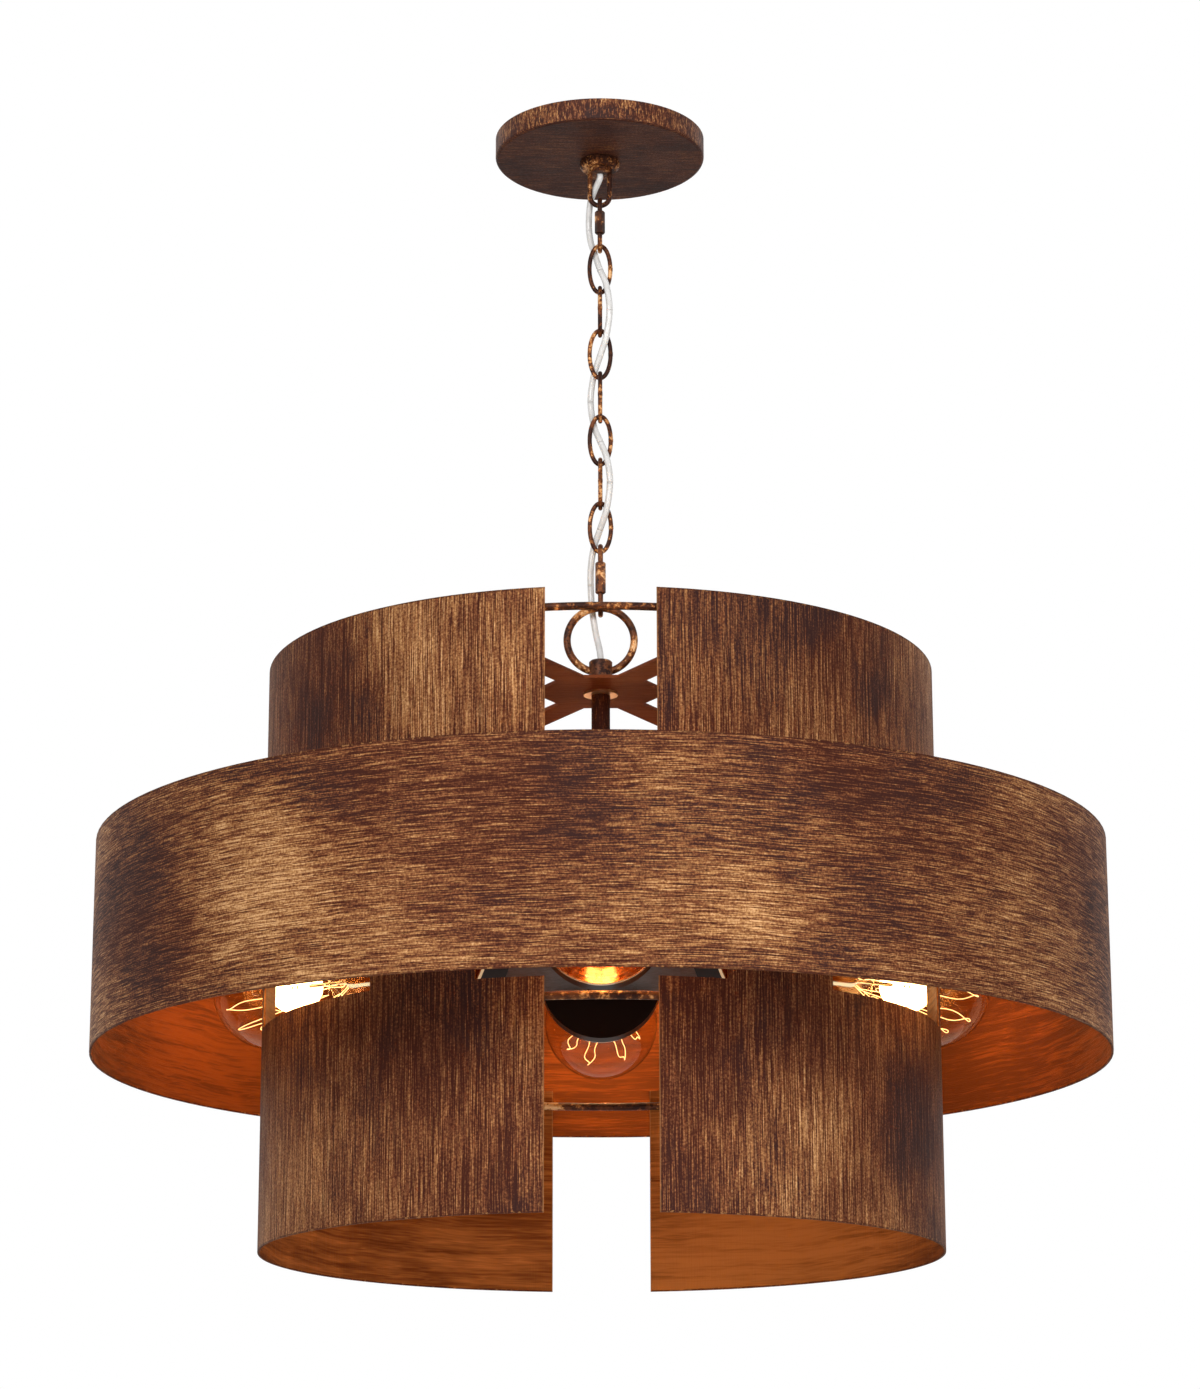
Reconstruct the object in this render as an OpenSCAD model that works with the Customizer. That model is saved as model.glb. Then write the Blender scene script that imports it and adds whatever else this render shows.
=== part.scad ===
// Six-lamp pendant light: two half-round inner panels inside a wide round drum, hung on a chain.
// Millimetres. The ceiling is z = 0 and everything hangs below it. The front faces -Y.

/* [Canopy] */
// Outer diameter of the canopy
canopy_d = 133; // [126:1:170]
// Depth of the canopy below the ceiling
canopy_h = 14; // [12:0.5:30]
// Thickness of the canopy's sheet
canopy_wall = 1.2; // [0.8:0.1:2]
// Radius of the canopy's rolled lower edge
canopy_edge_r = 2; // [1.5:0.1:4]

/* [Ceiling bar] */
// Length of the mounting bar
bar_l = 108; // [106:1:110]
// Width of the mounting bar
bar_w = 20; // [16:0.5:26]
// Thickness of the mounting bar
bar_t = 2; // [1.5:0.1:3]
// Distance between the centres of the two screw slots
slot_spacing = 89; // [84:1:92]
// Width of a screw slot
slot_w = 4.6; // [4:0.1:6]
// End-to-end length of a screw slot
slot_l = 11; // [8:0.5:13]
// Outer diameter of the threaded nipple
nipple_d = 9.8; // [9:0.1:11]
// Bore of the nipple
nipple_bore = 6.6; // [5.6:0.1:7.4]

/* [Screw collar] */
// Outer diameter of the knurled collar nut
collar_d = 25; // [22:0.5:32]
// Height of the collar nut
collar_h = 6.6; // [5:0.1:9]
// Outer diameter of the threaded stem that carries the loop
loop_stem_d = 16; // [15:0.5:18]
// Length of that stem below the collar nut
loop_stem_show = 3; // [2:0.5:8]
// Wire diameter of the loop
loop_wire = 3.2; // [2.6:0.1:4]
// Outer width of the loop
loop_w = 15.6; // [14:0.2:15.8]
// Outer depth of the loop below its stem
loop_drop = 22.6; // [18:0.2:30]

/* [Quick links] */
// Outer length of the upper quick link
upper_link_l = 37; // [34:0.5:46]
// Outer width of the upper quick link
upper_link_w = 13; // [12:0.5:15]
// Wire diameter of the upper quick link
upper_link_wire = 3; // [2.6:0.1:3.4]
// Outer length of the lower quick link
lower_link_l = 47; // [44:0.5:56]
// Outer width of the lower quick link
lower_link_w = 14.6; // [14:0.2:18]
// Wire diameter of the lower quick link
lower_link_wire = 3.2; // [2.8:0.1:3.6]
// Width across the flats of the links' sleeve nuts
sleeve_flats = 5.6; // [5.2:0.1:6.4]
// Length of the upper link's sleeve nut
upper_sleeve_l = 15; // [12:0.5:16]
// Length of the lower link's sleeve nut
lower_sleeve_l = 20; // [16:0.5:22]
// Open length of a link's threaded leg, under its nut
leg_gap = 6; // [4:0.5:8]

/* [Chain] */
// Outer length of a chain link
link_l = 34.5; // [30:0.5:40]
// Outer width of a chain link
link_w = 16; // [15:0.5:20]
// Wire diameter of a chain link
link_wire = 2.8; // [2.4:0.1:3.2]
// Play between one link's wire and the next
link_play = 0.3; // [0.2:0.05:0.5]

/* [Cord] */
// Diameter of the cord that weaves through the chain
cord_d = 4; // [3.6:0.1:4.4]
// Play round the cord in the bores that it passes through
cord_play = 0.7; // [0.4:0.1:0.9]

/* [Hanging ring and hub] */
// Outer diameter of the big hanging ring
ring_d = 46; // [40:1:56]
// Wire diameter of the hanging ring
ring_wire = 4.6; // [4:0.1:5.4]
// Outer diameter of the collar under the ring
hub_d = 14.4; // [14:0.2:18]
// Height of that collar
hub_h = 18.6; // [14:0.2:24]
// Depth of the ring's foot below the collar's top
ring_seat = 7.4; // [6:0.2:9]
// Diameter of the washer under the upper spider
washer_d = 21; // [18:0.5:30]
// Thickness of that washer
washer_t = 1.5; // [1:0.1:2.5]
// Outer diameter of the stem
stem_d = 11.4; // [11:0.1:13]
// Diameter of the stem's threaded ends
thread_d = 9.8; // [9:0.1:10.4]
// Bore of the stem
stem_bore = 6.6; // [5:0.1:7]

/* [Spiders] */
// Distance between opposite flats of a spider's six-sided middle
core_flats = 72; // [60:1:90]
// Width of a spider's arm
arm_w = 18; // [12:0.5:18]
// Thickness of a spider
spider_t = 2; // [1.5:0.1:3]
// Height of the bent tab at the end of a lower arm
tab_h = 22; // [14:1:40]

/* [Inner panels] */
// Outer diameter of the circle that the two panels lie on
panel_d = 406.4; // [380:1:430]
// Height of the panels
panel_h = 353; // [330:1:380]
// Thickness of the panels' sheet
panel_wall = 1.2; // [0.8:0.1:2]
// Width of the gap between the panels
gap_w = 63; // [50:1:80]
// Depth of the upper spider's underside below the panels' top edge
spider_drop = 8.5; // [6:0.5:20]
// Wire diameter of the upper hoop
upper_hoop_wire = 4.6; // [4:0.1:6]
// Wire diameter of the lower hoop
lower_hoop_wire = 5; // [4:0.1:6]
// Distance from the lower hoop up to the windows' sill
hoop_below_sill = 10.5; // [6:0.5:20]

/* [Windows] */
// Height of the windows' sill above the panels' bottom edge
sill_h = 130; // [110:1:135]
// Height of a window
window_h = 104; // [96:1:110]
// Angle that a window spans
window_angle = 40.4; // [34:0.2:44]

/* [Drum] */
// Outer diameter of the drum
drum_d = 609.6; // [596:1:640]
// Height of the drum
drum_h = 128; // [110:1:140]
// Height of the drum's bottom edge above the panels' bottom edge
drum_up = 115; // [100:1:116]
// Thickness of the drum's sheet
drum_wall = 1.2; // [0.8:0.1:2]

/* [Canister] */
// Outer diameter of the canister that holds the lampholders
canister_d = 144; // [136:1:150]
// Height of the canister
canister_h = 28; // [24:1:40]
// Thickness of the canister's sheet
canister_wall = 1.2; // [0.8:0.1:2]
// Diameter of the cap nut under the canister
cap_d = 17.5; // [15:0.5:24]
// Height of the cap nut
cap_h = 12; // [10:0.5:18]
// Width across the flats of the stem's lock nuts
nut_flats = 17; // [15:0.5:22]
// Thickness of the lock nuts
nut_t = 4.5; // [3:0.5:6]

/* [Lamps] */
// Height of the lamps' axes above the panels' bottom edge
lamp_up = 182; // [176:1:186]
// Outer diameter of the cup behind each lamp
cup_d = 76; // [66:1:76]
// Distance from the fixture's axis to a cup's back
cup_back = 80.5; // [80.5:0.5:84]
// Depth of a cup
cup_depth = 18; // [14:0.5:26]
// Thickness of a cup's sheet
cup_wall = 1; // [0.8:0.1:1.6]
// Outer diameter of a lampholder
holder_d = 34; // [32:0.5:40]
// Length of a lampholder
holder_l = 45; // [40:0.5:46]
// Diameter of a lamp's screw base
base_d = 26; // [25:0.1:26.6]
// Length of a lamp's screw base
base_l = 27; // [25:0.5:28]
// Diameter of a lamp's glass
bulb_d = 75; // [64:1:79]
// Overall length of a lamp
bulb_l = 175; // [165:1:185]
// Diameter of the glass's neck
neck_d = 30; // [28:0.5:33]
// Radius of the curve between neck and globe
shoulder_r = 100; // [70:5:140]
// Thickness of the glass
glass_wall = 0.8; // [0.6:0.1:1.2]
// Number of filament hairpins in a lamp
hairpin_n = 5; // [4:1:7]
// Length of the filament's hairpins
hairpin_l = 60; // [50:1:64]
// Radius that the hairpins spread to at half their length
hairpin_spread = 17; // [12:0.5:22]

/* [Hidden] */
$fn = 64;
eps = 0.01;
// Gap left between two pieces that are welded or screwed face to face
seat = 0.05;
// Gap of a running fit, all round
run = 0.05;
lamp_n = 6;
link_n = 7;
// Earth screw in the ceiling bar
ground_x = -24;
ground_d = 4;
ground_head_d = 8;
ground_head_h = 3;
// How far the stem's upper thread reaches above the washer's underside
thread_up = 13;
// Thickness of the cap nut's closed end
cap_wall = 3;
// Depth of the block that a tab is cut from, more than the drum's curve across an arm
tab_depth = 6;
// Distance from the hairpins' tips to the middle of the globe
hairpin_gap = 6;

// Heights, worked out from the ceiling down
loop_stem_top = -canopy_h + 4;
collar_bottom = -canopy_h - collar_h;
loop_stem_bottom = collar_bottom - loop_stem_show;
loop_bottom = loop_stem_bottom - loop_drop;
upper_hinge = loop_bottom + loop_wire / 2;
upper_link_top = upper_hinge + loop_wire / 2 + link_play + upper_link_wire;
upper_link_mid = upper_link_top - upper_link_l / 2;
upper_link_foot = upper_link_top - upper_link_l + upper_link_wire / 2;
link_1_mid = upper_link_foot + upper_link_wire / 2 + link_play + link_wire - link_l / 2;
link_pitch = link_l - 2 * link_wire - link_play;
link_foot = link_1_mid - (link_n - 1) * link_pitch - link_l / 2 + link_wire / 2;
lower_link_top = link_foot + link_wire / 2 + link_play + lower_link_wire;
lower_link_mid = lower_link_top - lower_link_l / 2;
lower_link_foot = lower_link_top - lower_link_l + lower_link_wire / 2;
ring_r = (ring_d - ring_wire) / 2;
ring_mid = lower_link_foot + lower_link_wire / 2 + link_play + ring_wire / 2 - ring_r;
hub_top = ring_mid - ring_d / 2 + ring_wire / 2 + ring_seat;
hub_bottom = hub_top - hub_h;
spider_top = hub_bottom;
spider_bottom = spider_top - spider_t;
panel_top = spider_bottom + spider_drop;
panel_bottom = panel_top - panel_h;
washer_bottom = spider_bottom - washer_t;
lamp_z = panel_bottom + lamp_up;
canister_top = lamp_z + canister_h / 2;
canister_bottom = canister_top - canister_h;
sill_z = panel_bottom + sill_h;
drum_bottom = panel_bottom + drum_up;
panel_in_r = panel_d / 2 - panel_wall;
upper_hoop_r = panel_in_r - upper_hoop_wire / 2 - seat;
upper_hoop_z = spider_bottom - upper_hoop_wire / 2 - seat;
lower_hoop_r = panel_in_r - lower_hoop_wire / 2 - seat;
lower_hoop_z = sill_z - hoop_below_sill;
drum_in_r = drum_d / 2 - drum_wall;
arm_z = canister_top + spider_t;
nut_top = arm_z + nut_t;

// Cup, lampholder and lamp, measured outward from the fixture's axis
cup_rim = cup_back + cup_depth;
holder_start = cup_back + cup_wall + seat;
holder_end = holder_start + holder_l;
holder_floor = 21;
contact_t = 1;
contact_d = 9;
bulb_start = holder_start + holder_floor + contact_t + 0.3;
bulb_end = bulb_start + bulb_l;
globe_mid = bulb_end - bulb_d / 2;
glass_start = bulb_start + base_l - 1;
base_plug_l = 4;
// Height that the flat at a globe's tip takes off
tip_flat = 0.02;
holder_thread_d = 10;

bronze = "#5a3a22";
dark_bronze = "#3a2a20";
copper = "#b5672f";

// A round tube standing on z = 0
module tube(outer_d, bore_d, height) {
    difference() {
        cylinder(d = outer_d, h = height);
        translate([0, 0, -1])
            cylinder(d = bore_d, h = height + 2);
    }
}

// Part of a wire ring in the XZ plane; angles run from +X towards +Z
module wire_arc(radius, wire, from, to) {
    rotate([90, 0, 0])
        rotate([0, 0, from])
            rotate_extrude(angle = to - from)
                translate([radius, 0])
                    circle(d = wire, $fn = 32);
}

// A full wire ring in the XY plane
module wire_ring(radius, wire) {
    rotate_extrude($fn = 128)
        translate([radius, 0])
            circle(d = wire, $fn = 32);
}

// The two bends of a link in the XZ plane
module link_bends(length, width, wire) {
    for (side = [0, 180])
        rotate([0, side, 0])
            translate([0, 0, (length - width) / 2])
                wire_arc((width - wire) / 2, wire, 0, 180);
}

// A closed link in the XZ plane
module closed_link(length, width, wire) {
    straight = length - width;
    link_bends(length, width, wire);
    for (side = [-1, 1])
        translate([side * (width - wire) / 2, 0, -straight / 2])
            cylinder(d = wire, h = straight);
}

// A quick link in the YZ plane, with its threaded leg towards -Y open under the nut
module quick_link(length, width, wire) {
    bend_r = (width - wire) / 2;
    straight = length - width;
    stub = (straight - leg_gap) / 2;
    rotate([0, 0, 90])
        link_bends(length, width, wire);
    translate([0, bend_r, -straight / 2])
        cylinder(d = wire, h = straight);
    for (foot = [-straight / 2, straight / 2 - stub])
        translate([0, -bend_r, foot])
            cylinder(d = wire, h = stub);
}

// The six-sided sleeve nut that closes a quick link
module sleeve_nut(length, width, wire) {
    corner_d = sleeve_flats / cos(30);
    translate([0, -(width - wire) / 2, -length / 2])
        difference() {
            intersection() {
                cylinder(d = corner_d, h = length, $fn = 6);
                translate([0, 0, length / 2])
                    chamfered_bar(corner_d, length);
            }
            translate([0, 0, -1])
                cylinder(d = wire + 2 * run, h = length + 2);
        }
}

// A round bar with chamfered ends, centred on the origin, that trims a nut's corners
module chamfered_bar(diameter, length) {
    chamfer = min(diameter, length) * 0.1;
    rotate_extrude()
        polygon([[0, -length / 2], [diameter / 2 - chamfer, -length / 2],
            [diameter / 2, -length / 2 + chamfer], [diameter / 2, length / 2 - chamfer],
            [diameter / 2 - chamfer, length / 2], [0, length / 2]]);
}

// A six-sided lock nut standing on z = 0
module lock_nut(flats, thickness, hole_d) {
    corner_d = flats / cos(30);
    difference() {
        intersection() {
            cylinder(d = corner_d, h = thickness, $fn = 6);
            translate([0, 0, thickness / 2])
                chamfered_bar(corner_d, thickness);
        }
        translate([0, 0, -1])
            cylinder(d = hole_d, h = thickness + 2);
    }
}

module mounting_bar() {
    hole_d = nipple_d + 2 * run;
    color("#b9bcc0")
        translate([0, 0, -bar_t])
            difference() {
                intersection() {
                    translate([-bar_l / 2, -bar_w / 2, 0])
                        cube([bar_l, bar_w, bar_t]);
                    translate([0, 0, -1])
                        cylinder(d = bar_l, h = bar_t + 2);
                }
                translate([0, 0, -1])
                    cylinder(d = hole_d, h = bar_t + 2);
                for (side = [-1, 1])
                    translate([side * slot_spacing / 2, 0, -1])
                        linear_extrude(bar_t + 2) {
                            square([slot_l - slot_w, slot_w], center = true);
                            for (end = [-1, 1])
                                translate([end * (slot_l - slot_w) / 2, 0])
                                    circle(d = slot_w);
                        }
                translate([ground_x, 0, -1])
                    cylinder(d = ground_d + 2 * run, h = bar_t + 2);
            }
}

module nipple() {
    color("#b08d57")
        translate([0, 0, collar_bottom])
            tube(nipple_d, nipple_bore, -collar_bottom);
}

module bar_locknut() {
    flats = 15;
    thickness = 3;
    color("#b9bcc0")
        translate([0, 0, -bar_t - thickness - seat])
            lock_nut(flats, thickness, nipple_d + 2 * run);
}

// The green earth screw in the mounting bar
module ground_screw() {
    color("#2f7d3a")
        translate([ground_x, 0, 0]) {
            translate([0, 0, -bar_t - ground_head_h - seat])
                lock_nut(ground_head_d * cos(30), ground_head_h, 1);
            translate([0, 0, -bar_t - ground_head_h / 2])
                cylinder(d = ground_d, h = bar_t + ground_head_h / 2);
        }
}

// Outline of the canopy's cup, for turning round z
module pan_outline(radius, height, edge_r) {
    translate([0, -height])
        square([radius - edge_r, height]);
    translate([0, -height + edge_r])
        square([radius, height - edge_r]);
    translate([radius - edge_r, -height + edge_r])
        circle(r = edge_r);
}

module canopy() {
    color(bronze)
        rotate_extrude($fn = 128)
            difference() {
                pan_outline(canopy_d / 2, canopy_h, canopy_edge_r);
                translate([0, eps])
                    pan_outline(canopy_d / 2 - canopy_wall, canopy_h - canopy_wall + eps,
                        canopy_edge_r - canopy_wall);
                translate([0, -canopy_h - 1])
                    square([loop_stem_d / 2 + 0.4, canopy_h + 2]);
            }
}

// The knurled ring that holds the canopy up
module collar_nut() {
    bore_r = loop_stem_d / 2 + run;
    outer_r = collar_d / 2;
    rim = 1;
    top = -canopy_h - seat;
    color(bronze)
        difference() {
            rotate_extrude()
                polygon([[bore_r, top], [outer_r - rim, top], [outer_r, top - rim],
                    [outer_r, collar_bottom + 2 * rim], [outer_r - 2 * rim, collar_bottom],
                    [bore_r, collar_bottom]]);
            for (turn = [0 : 15 : 345])
                rotate([0, 0, turn])
                    translate([outer_r + 0.5, 0, collar_bottom - 1])
                        cylinder(d = 2, h = collar_h + 2, $fn = 16);
        }
}

// The threaded stem with the loop that carries the chain
module collar_loop() {
    half_w = (loop_w - loop_wire) / 2;
    bend_z = loop_bottom + loop_wire / 2 + half_w;
    color(bronze) {
        difference() {
            translate([0, 0, loop_stem_bottom])
                cylinder(d = loop_stem_d, h = loop_stem_top - loop_stem_bottom);
            translate([0, 0, collar_bottom - seat])
                cylinder(d = nipple_d + 2 * run, h = loop_stem_top - collar_bottom + 1);
            translate([0, 0, loop_stem_bottom - 1])
                cylinder(d = cord_d + 2 * cord_play, h = collar_bottom - loop_stem_bottom + 2);
        }
        translate([0, 0, bend_z])
            wire_arc(half_w, loop_wire, 180, 360);
        for (side = [-1, 1])
            translate([side * half_w, 0, bend_z])
                cylinder(d = loop_wire, h = loop_stem_bottom - bend_z + eps);
    }
}

module upper_quick_link() {
    color(bronze)
        translate([0, 0, upper_link_mid])
            quick_link(upper_link_l, upper_link_w, upper_link_wire);
}

module upper_link_nut() {
    color(bronze)
        translate([0, 0, upper_link_mid])
            sleeve_nut(upper_sleeve_l, upper_link_w, upper_link_wire);
}

// Odd links face the front and even ones are edge-on
module chain_link(number) {
    color(bronze)
        translate([0, 0, link_1_mid - (number - 1) * link_pitch])
            rotate([0, 0, number % 2 == 1 ? 0 : 90])
                closed_link(link_l, link_w, link_wire);
}

module lower_quick_link() {
    color(bronze)
        translate([0, 0, lower_link_mid])
            quick_link(lower_link_l, lower_link_w, lower_link_wire);
}

module lower_link_nut() {
    color(bronze)
        translate([0, 0, lower_link_mid])
            sleeve_nut(lower_sleeve_l, lower_link_w, lower_link_wire);
}

// Route of the cord from the loop's stem, in and out of the chain, to the hub collar
cord_route = [[0, 0, -22], [0, 0, -26], [-3, 3, -32], [-6, 6, -40], [-7, 6, -54], [-6, 6, -66],
    [-3, 4, -77], [0, 0, -88], [4, -4, -100], [6, -6, -117], [4, -4, -134], [0, 0, -146],
    [-4, 4, -158], [-6, 6, -174], [-4, 4, -191], [0, 0, -203], [4, -4, -215], [6, -6, -231],
    [4, -4, -248], [0, 0, -260], [-4, 4, -271], [-6, 6, -284], [-6, 7, -298], [-5, 7, -312],
    [-3, 6, -326], [-1, 3, -336], [0, 0, -344], [0, 0, -350]];
cord_sides = 8;
cord_steps = 2;

// A point on a smooth curve through four route points
function curve(a, b, c, d, t) = 0.5 * (2 * b + (c - a) * t + (2 * a - 5 * b + 4 * c - d) * t * t
    + (3 * b - a - 3 * c + d) * t * t * t);
function clamped(i) = cord_route[min(max(i, 0), len(cord_route) - 1)];
function cord_points() = [for (i = [0 : len(cord_route) - 2]) for (s = [0 : cord_steps - 1])
    curve(clamped(i - 1), clamped(i), clamped(i + 1), clamped(i + 2), s / cord_steps),
    cord_route[len(cord_route) - 1]];
function unit(v) = v / norm(v);
function along(p, i) = i == 0 || i == len(p) - 1 ? [0, 0, -1]
    : unit(p[i + 1] - p[i - 1]);
// The ring's first side keeps facing +X, so the tube doesn't twist
function ring_x(t) = unit([1, 0, 0] - t * t[0]);
function ring_points(p, i) = let (t = along(p, i), u = ring_x(t), v = cross(t, u))
    [for (k = [0 : cord_sides - 1]) p[i] + cord_d / 2
        * (u * cos(360 * k / cord_sides) + v * sin(360 * k / cord_sides))];

module cord() {
    path = cord_points();
    rings = len(path);
    vertices = [for (i = [0 : rings - 1]) each ring_points(path, i)];
    sides = [for (i = [0 : rings - 2]) for (k = [0 : cord_sides - 1])
        let (a = i * cord_sides + k, b = i * cord_sides + (k + 1) % cord_sides)
        each [[a, a + cord_sides, b], [b, a + cord_sides, b + cord_sides]]];
    top = [for (k = [0 : cord_sides - 1]) k];
    bottom = [for (k = [cord_sides - 1 : -1 : 0]) (rings - 1) * cord_sides + k];
    color("#e8e6e0")
        polyhedron(points = vertices, faces = concat(sides, [top, bottom]));
}

module hanging_ring() {
    color(bronze)
        difference() {
            translate([0, 0, ring_mid])
                rotate([90, 0, 0])
                    wire_ring(ring_r, ring_wire);
            translate([0, 0, ring_mid - ring_d])
                cylinder(d = hub_d + 2 * seat, h = ring_d);
        }
}

// The round collar that joins the ring to the stem
module hub_collar() {
    edge = 1;
    thread_top = washer_bottom + thread_up;
    color(bronze)
        difference() {
            rotate_extrude()
                polygon([[0, hub_bottom + seat], [hub_d / 2, hub_bottom + seat],
                    [hub_d / 2, hub_top - edge], [hub_d / 2 - edge, hub_top], [0, hub_top]]);
            translate([0, 0, hub_bottom - 1])
                cylinder(d = thread_d + 2 * run, h = thread_top + seat - hub_bottom + 1);
            translate([0, 0, hub_bottom])
                cylinder(d = cord_d + 2 * cord_play, h = hub_h + 1);
        }
}

// Six flat arms on a six-sided middle, standing on z = 0
module spider_plate(reach) {
    difference() {
        linear_extrude(spider_t) {
            circle(d = core_flats / cos(30), $fn = 6);
            for (turn = [0 : 60 : 300])
                rotate([0, 0, turn])
                    translate([0, -arm_w / 2])
                        square([reach, arm_w]);
        }
        translate([0, 0, -1])
            cylinder(d = thread_d + 2 * run, h = spider_t + 2);
    }
}

module upper_spider() {
    color(bronze)
        translate([0, 0, spider_bottom])
            intersection() {
                spider_plate(panel_d / 2);
                translate([0, 0, -1])
                    cylinder(r = panel_in_r - seat, h = spider_t + 2, $fn = 128);
            }
}

module stem_washer() {
    color("#c9a27a")
        translate([0, 0, washer_bottom])
            tube(washer_d, thread_d + 2 * run, washer_t - seat);
}

// The stem from the hub collar down through the canister to the cap nut
module stem() {
    foot = canister_bottom - cap_h + cap_wall + 1;
    color(dark_bronze)
        difference() {
            union() {
                translate([0, 0, nut_top + seat])
                    cylinder(d = stem_d, h = washer_bottom - nut_top - 2 * seat);
                translate([0, 0, foot])
                    cylinder(d = thread_d, h = washer_bottom + thread_up - foot);
            }
            translate([0, 0, foot - 1])
                cylinder(d = stem_bore, h = washer_bottom + thread_up - foot + 2);
        }
}

module stem_locknuts() {
    color("#4a3a2c") {
        translate([0, 0, arm_z + seat])
            lock_nut(nut_flats, nut_t - seat, thread_d + 2 * run);
        translate([0, 0, canister_top - canister_wall - nut_t])
            lock_nut(nut_flats, nut_t - seat, thread_d + 2 * run);
    }
}

module upper_hoop() {
    color(bronze)
        translate([0, 0, upper_hoop_z])
            wire_ring(upper_hoop_r, upper_hoop_wire);
}

module lower_hoop() {
    color(bronze)
        translate([0, 0, lower_hoop_z])
            wire_ring(lower_hoop_r, lower_hoop_wire);
}

// A wedge from the axis outward that cuts one window
module window_wedge(height) {
    reach = panel_d;
    linear_extrude(height)
        polygon([[0, 0], [reach * cos(window_angle / 2), -reach * sin(window_angle / 2)],
            [reach * cos(window_angle / 2), reach * sin(window_angle / 2)]]);
}

// The right-hand half panel
module half_panel() {
    slot_play = 1;
    difference() {
        translate([0, 0, panel_bottom])
            cylinder(d = panel_d, h = panel_h, $fn = 128);
        translate([0, 0, panel_bottom - 1])
            cylinder(r = panel_in_r, h = panel_h + 2, $fn = 128);
        translate([-panel_d, -panel_d, panel_bottom - 1])
            cube([panel_d + gap_w / 2, 2 * panel_d, panel_h + 2]);
        for (turn = [-90 : 60 : 90])
            rotate([0, 0, turn])
                translate([0, 0, sill_z])
                    window_wedge(window_h);
        for (turn = [-60, 0, 60])
            rotate([0, 0, turn])
                translate([0, -arm_w / 2 - slot_play, canister_top - slot_play])
                    cube([panel_d, arm_w + 2 * slot_play, spider_t + 2 * slot_play]);
    }
}

module right_panel() {
    color(bronze)
        half_panel();
}

module left_panel() {
    color(bronze)
        rotate([0, 0, 180])
            half_panel();
}

// The spider on the canister, whose arms pass through the panels and carry the drum
module lower_spider() {
    color(dark_bronze)
        translate([0, 0, canister_top + seat])
            intersection() {
                union() {
                    spider_plate(drum_d / 2);
                    for (turn = [0 : 60 : 300])
                        rotate([0, 0, turn])
                            translate([drum_in_r - tab_depth, -arm_w / 2, spider_t - tab_h])
                                cube([drum_d / 2, arm_w, tab_h]);
                }
                translate([0, 0, -tab_h])
                    difference() {
                        cylinder(r = drum_in_r - seat, h = 2 * tab_h, $fn = 128);
                        translate([0, 0, -1])
                            cylinder(r = drum_in_r - seat - spider_t, h = tab_h + 1, $fn = 128);
                    }
            }
}

module outer_drum() {
    color(bronze)
        translate([0, 0, drum_bottom])
            difference() {
                cylinder(d = drum_d, h = drum_h, $fn = 180);
                translate([0, 0, -1])
                    cylinder(r = drum_in_r, h = drum_h + 2, $fn = 180);
            }
}

module canister() {
    color(dark_bronze)
        difference() {
            translate([0, 0, canister_bottom])
                cylinder(d = canister_d, h = canister_h, $fn = 128);
            translate([0, 0, canister_bottom - 1])
                cylinder(d = canister_d - 2 * canister_wall, h = canister_h - canister_wall + 1,
                    $fn = 128);
            translate([0, 0, canister_bottom])
                cylinder(d = thread_d + 2 * run, h = canister_h + 1);
            for (lamp = [1 : lamp_n])
                lamp_place(lamp)
                    cylinder(d = holder_thread_d + 2 * run, h = canister_d);
        }
}

module canister_cover() {
    lid_r = canister_d / 2 - canister_wall - 0.2;
    lip = 6;
    color(dark_bronze)
        translate([0, 0, canister_bottom])
            difference() {
                cylinder(r = lid_r, h = lip, $fn = 128);
                translate([0, 0, canister_wall])
                    cylinder(r = lid_r - canister_wall, h = lip, $fn = 128);
                translate([0, 0, -1])
                    cylinder(d = thread_d + 2 * run, h = lip);
            }
}

// The domed cap nut that holds the cover on the stem's foot
module cap_nut() {
    color("#1e1a18")
        translate([0, 0, canister_bottom - seat])
            difference() {
                rotate_extrude()
                    intersection() {
                        translate([0, -cap_h])
                            square([cap_d / 2, cap_h]);
                        translate([0, cap_d / 2 - cap_h + 1])
                            circle(d = cap_d * 1.22);
                    }
                translate([0, 0, cap_wall - cap_h])
                    cylinder(d = thread_d + 2 * run, h = cap_h);
            }
}

// Puts a piece that points along +Z on a lamp's axis; lamp 1 is at the front
module lamp_place(lamp) {
    rotate([0, 0, -90 + (lamp - 1) * 360 / lamp_n])
        translate([0, 0, lamp_z])
            rotate([0, 90, 0])
                children();
}

// One cup: neck on the canister's side, back plate and straight rim
module lamp_cup() {
    neck_r = 11;
    roll = 1.2;
    rotate_extrude()
        difference() {
            union() {
                translate([0, canister_d / 2 - 4])
                    square([neck_r, cup_back - canister_d / 2 + 4 + cup_wall]);
                translate([0, cup_back])
                    square([cup_d / 2, cup_depth - roll]);
                translate([0, cup_rim - roll])
                    square([cup_d / 2 - roll / 2, roll / 2]);
                translate([cup_d / 2 - roll / 2, cup_rim - roll])
                    circle(d = roll);
            }
            translate([0, cup_back + cup_wall])
                square([cup_d / 2 - cup_wall, cup_depth]);
            translate([0, -1])
                square([holder_thread_d / 2 + run, cup_rim]);
        }
}

module lamp_cups() {
    color(copper)
        difference() {
            for (lamp = [1 : lamp_n])
                lamp_place(lamp)
                    lamp_cup();
            translate([0, 0, lamp_z - cup_d])
                cylinder(d = canister_d + 2 * seat, h = 2 * cup_d, $fn = 128);
        }
}

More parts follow.
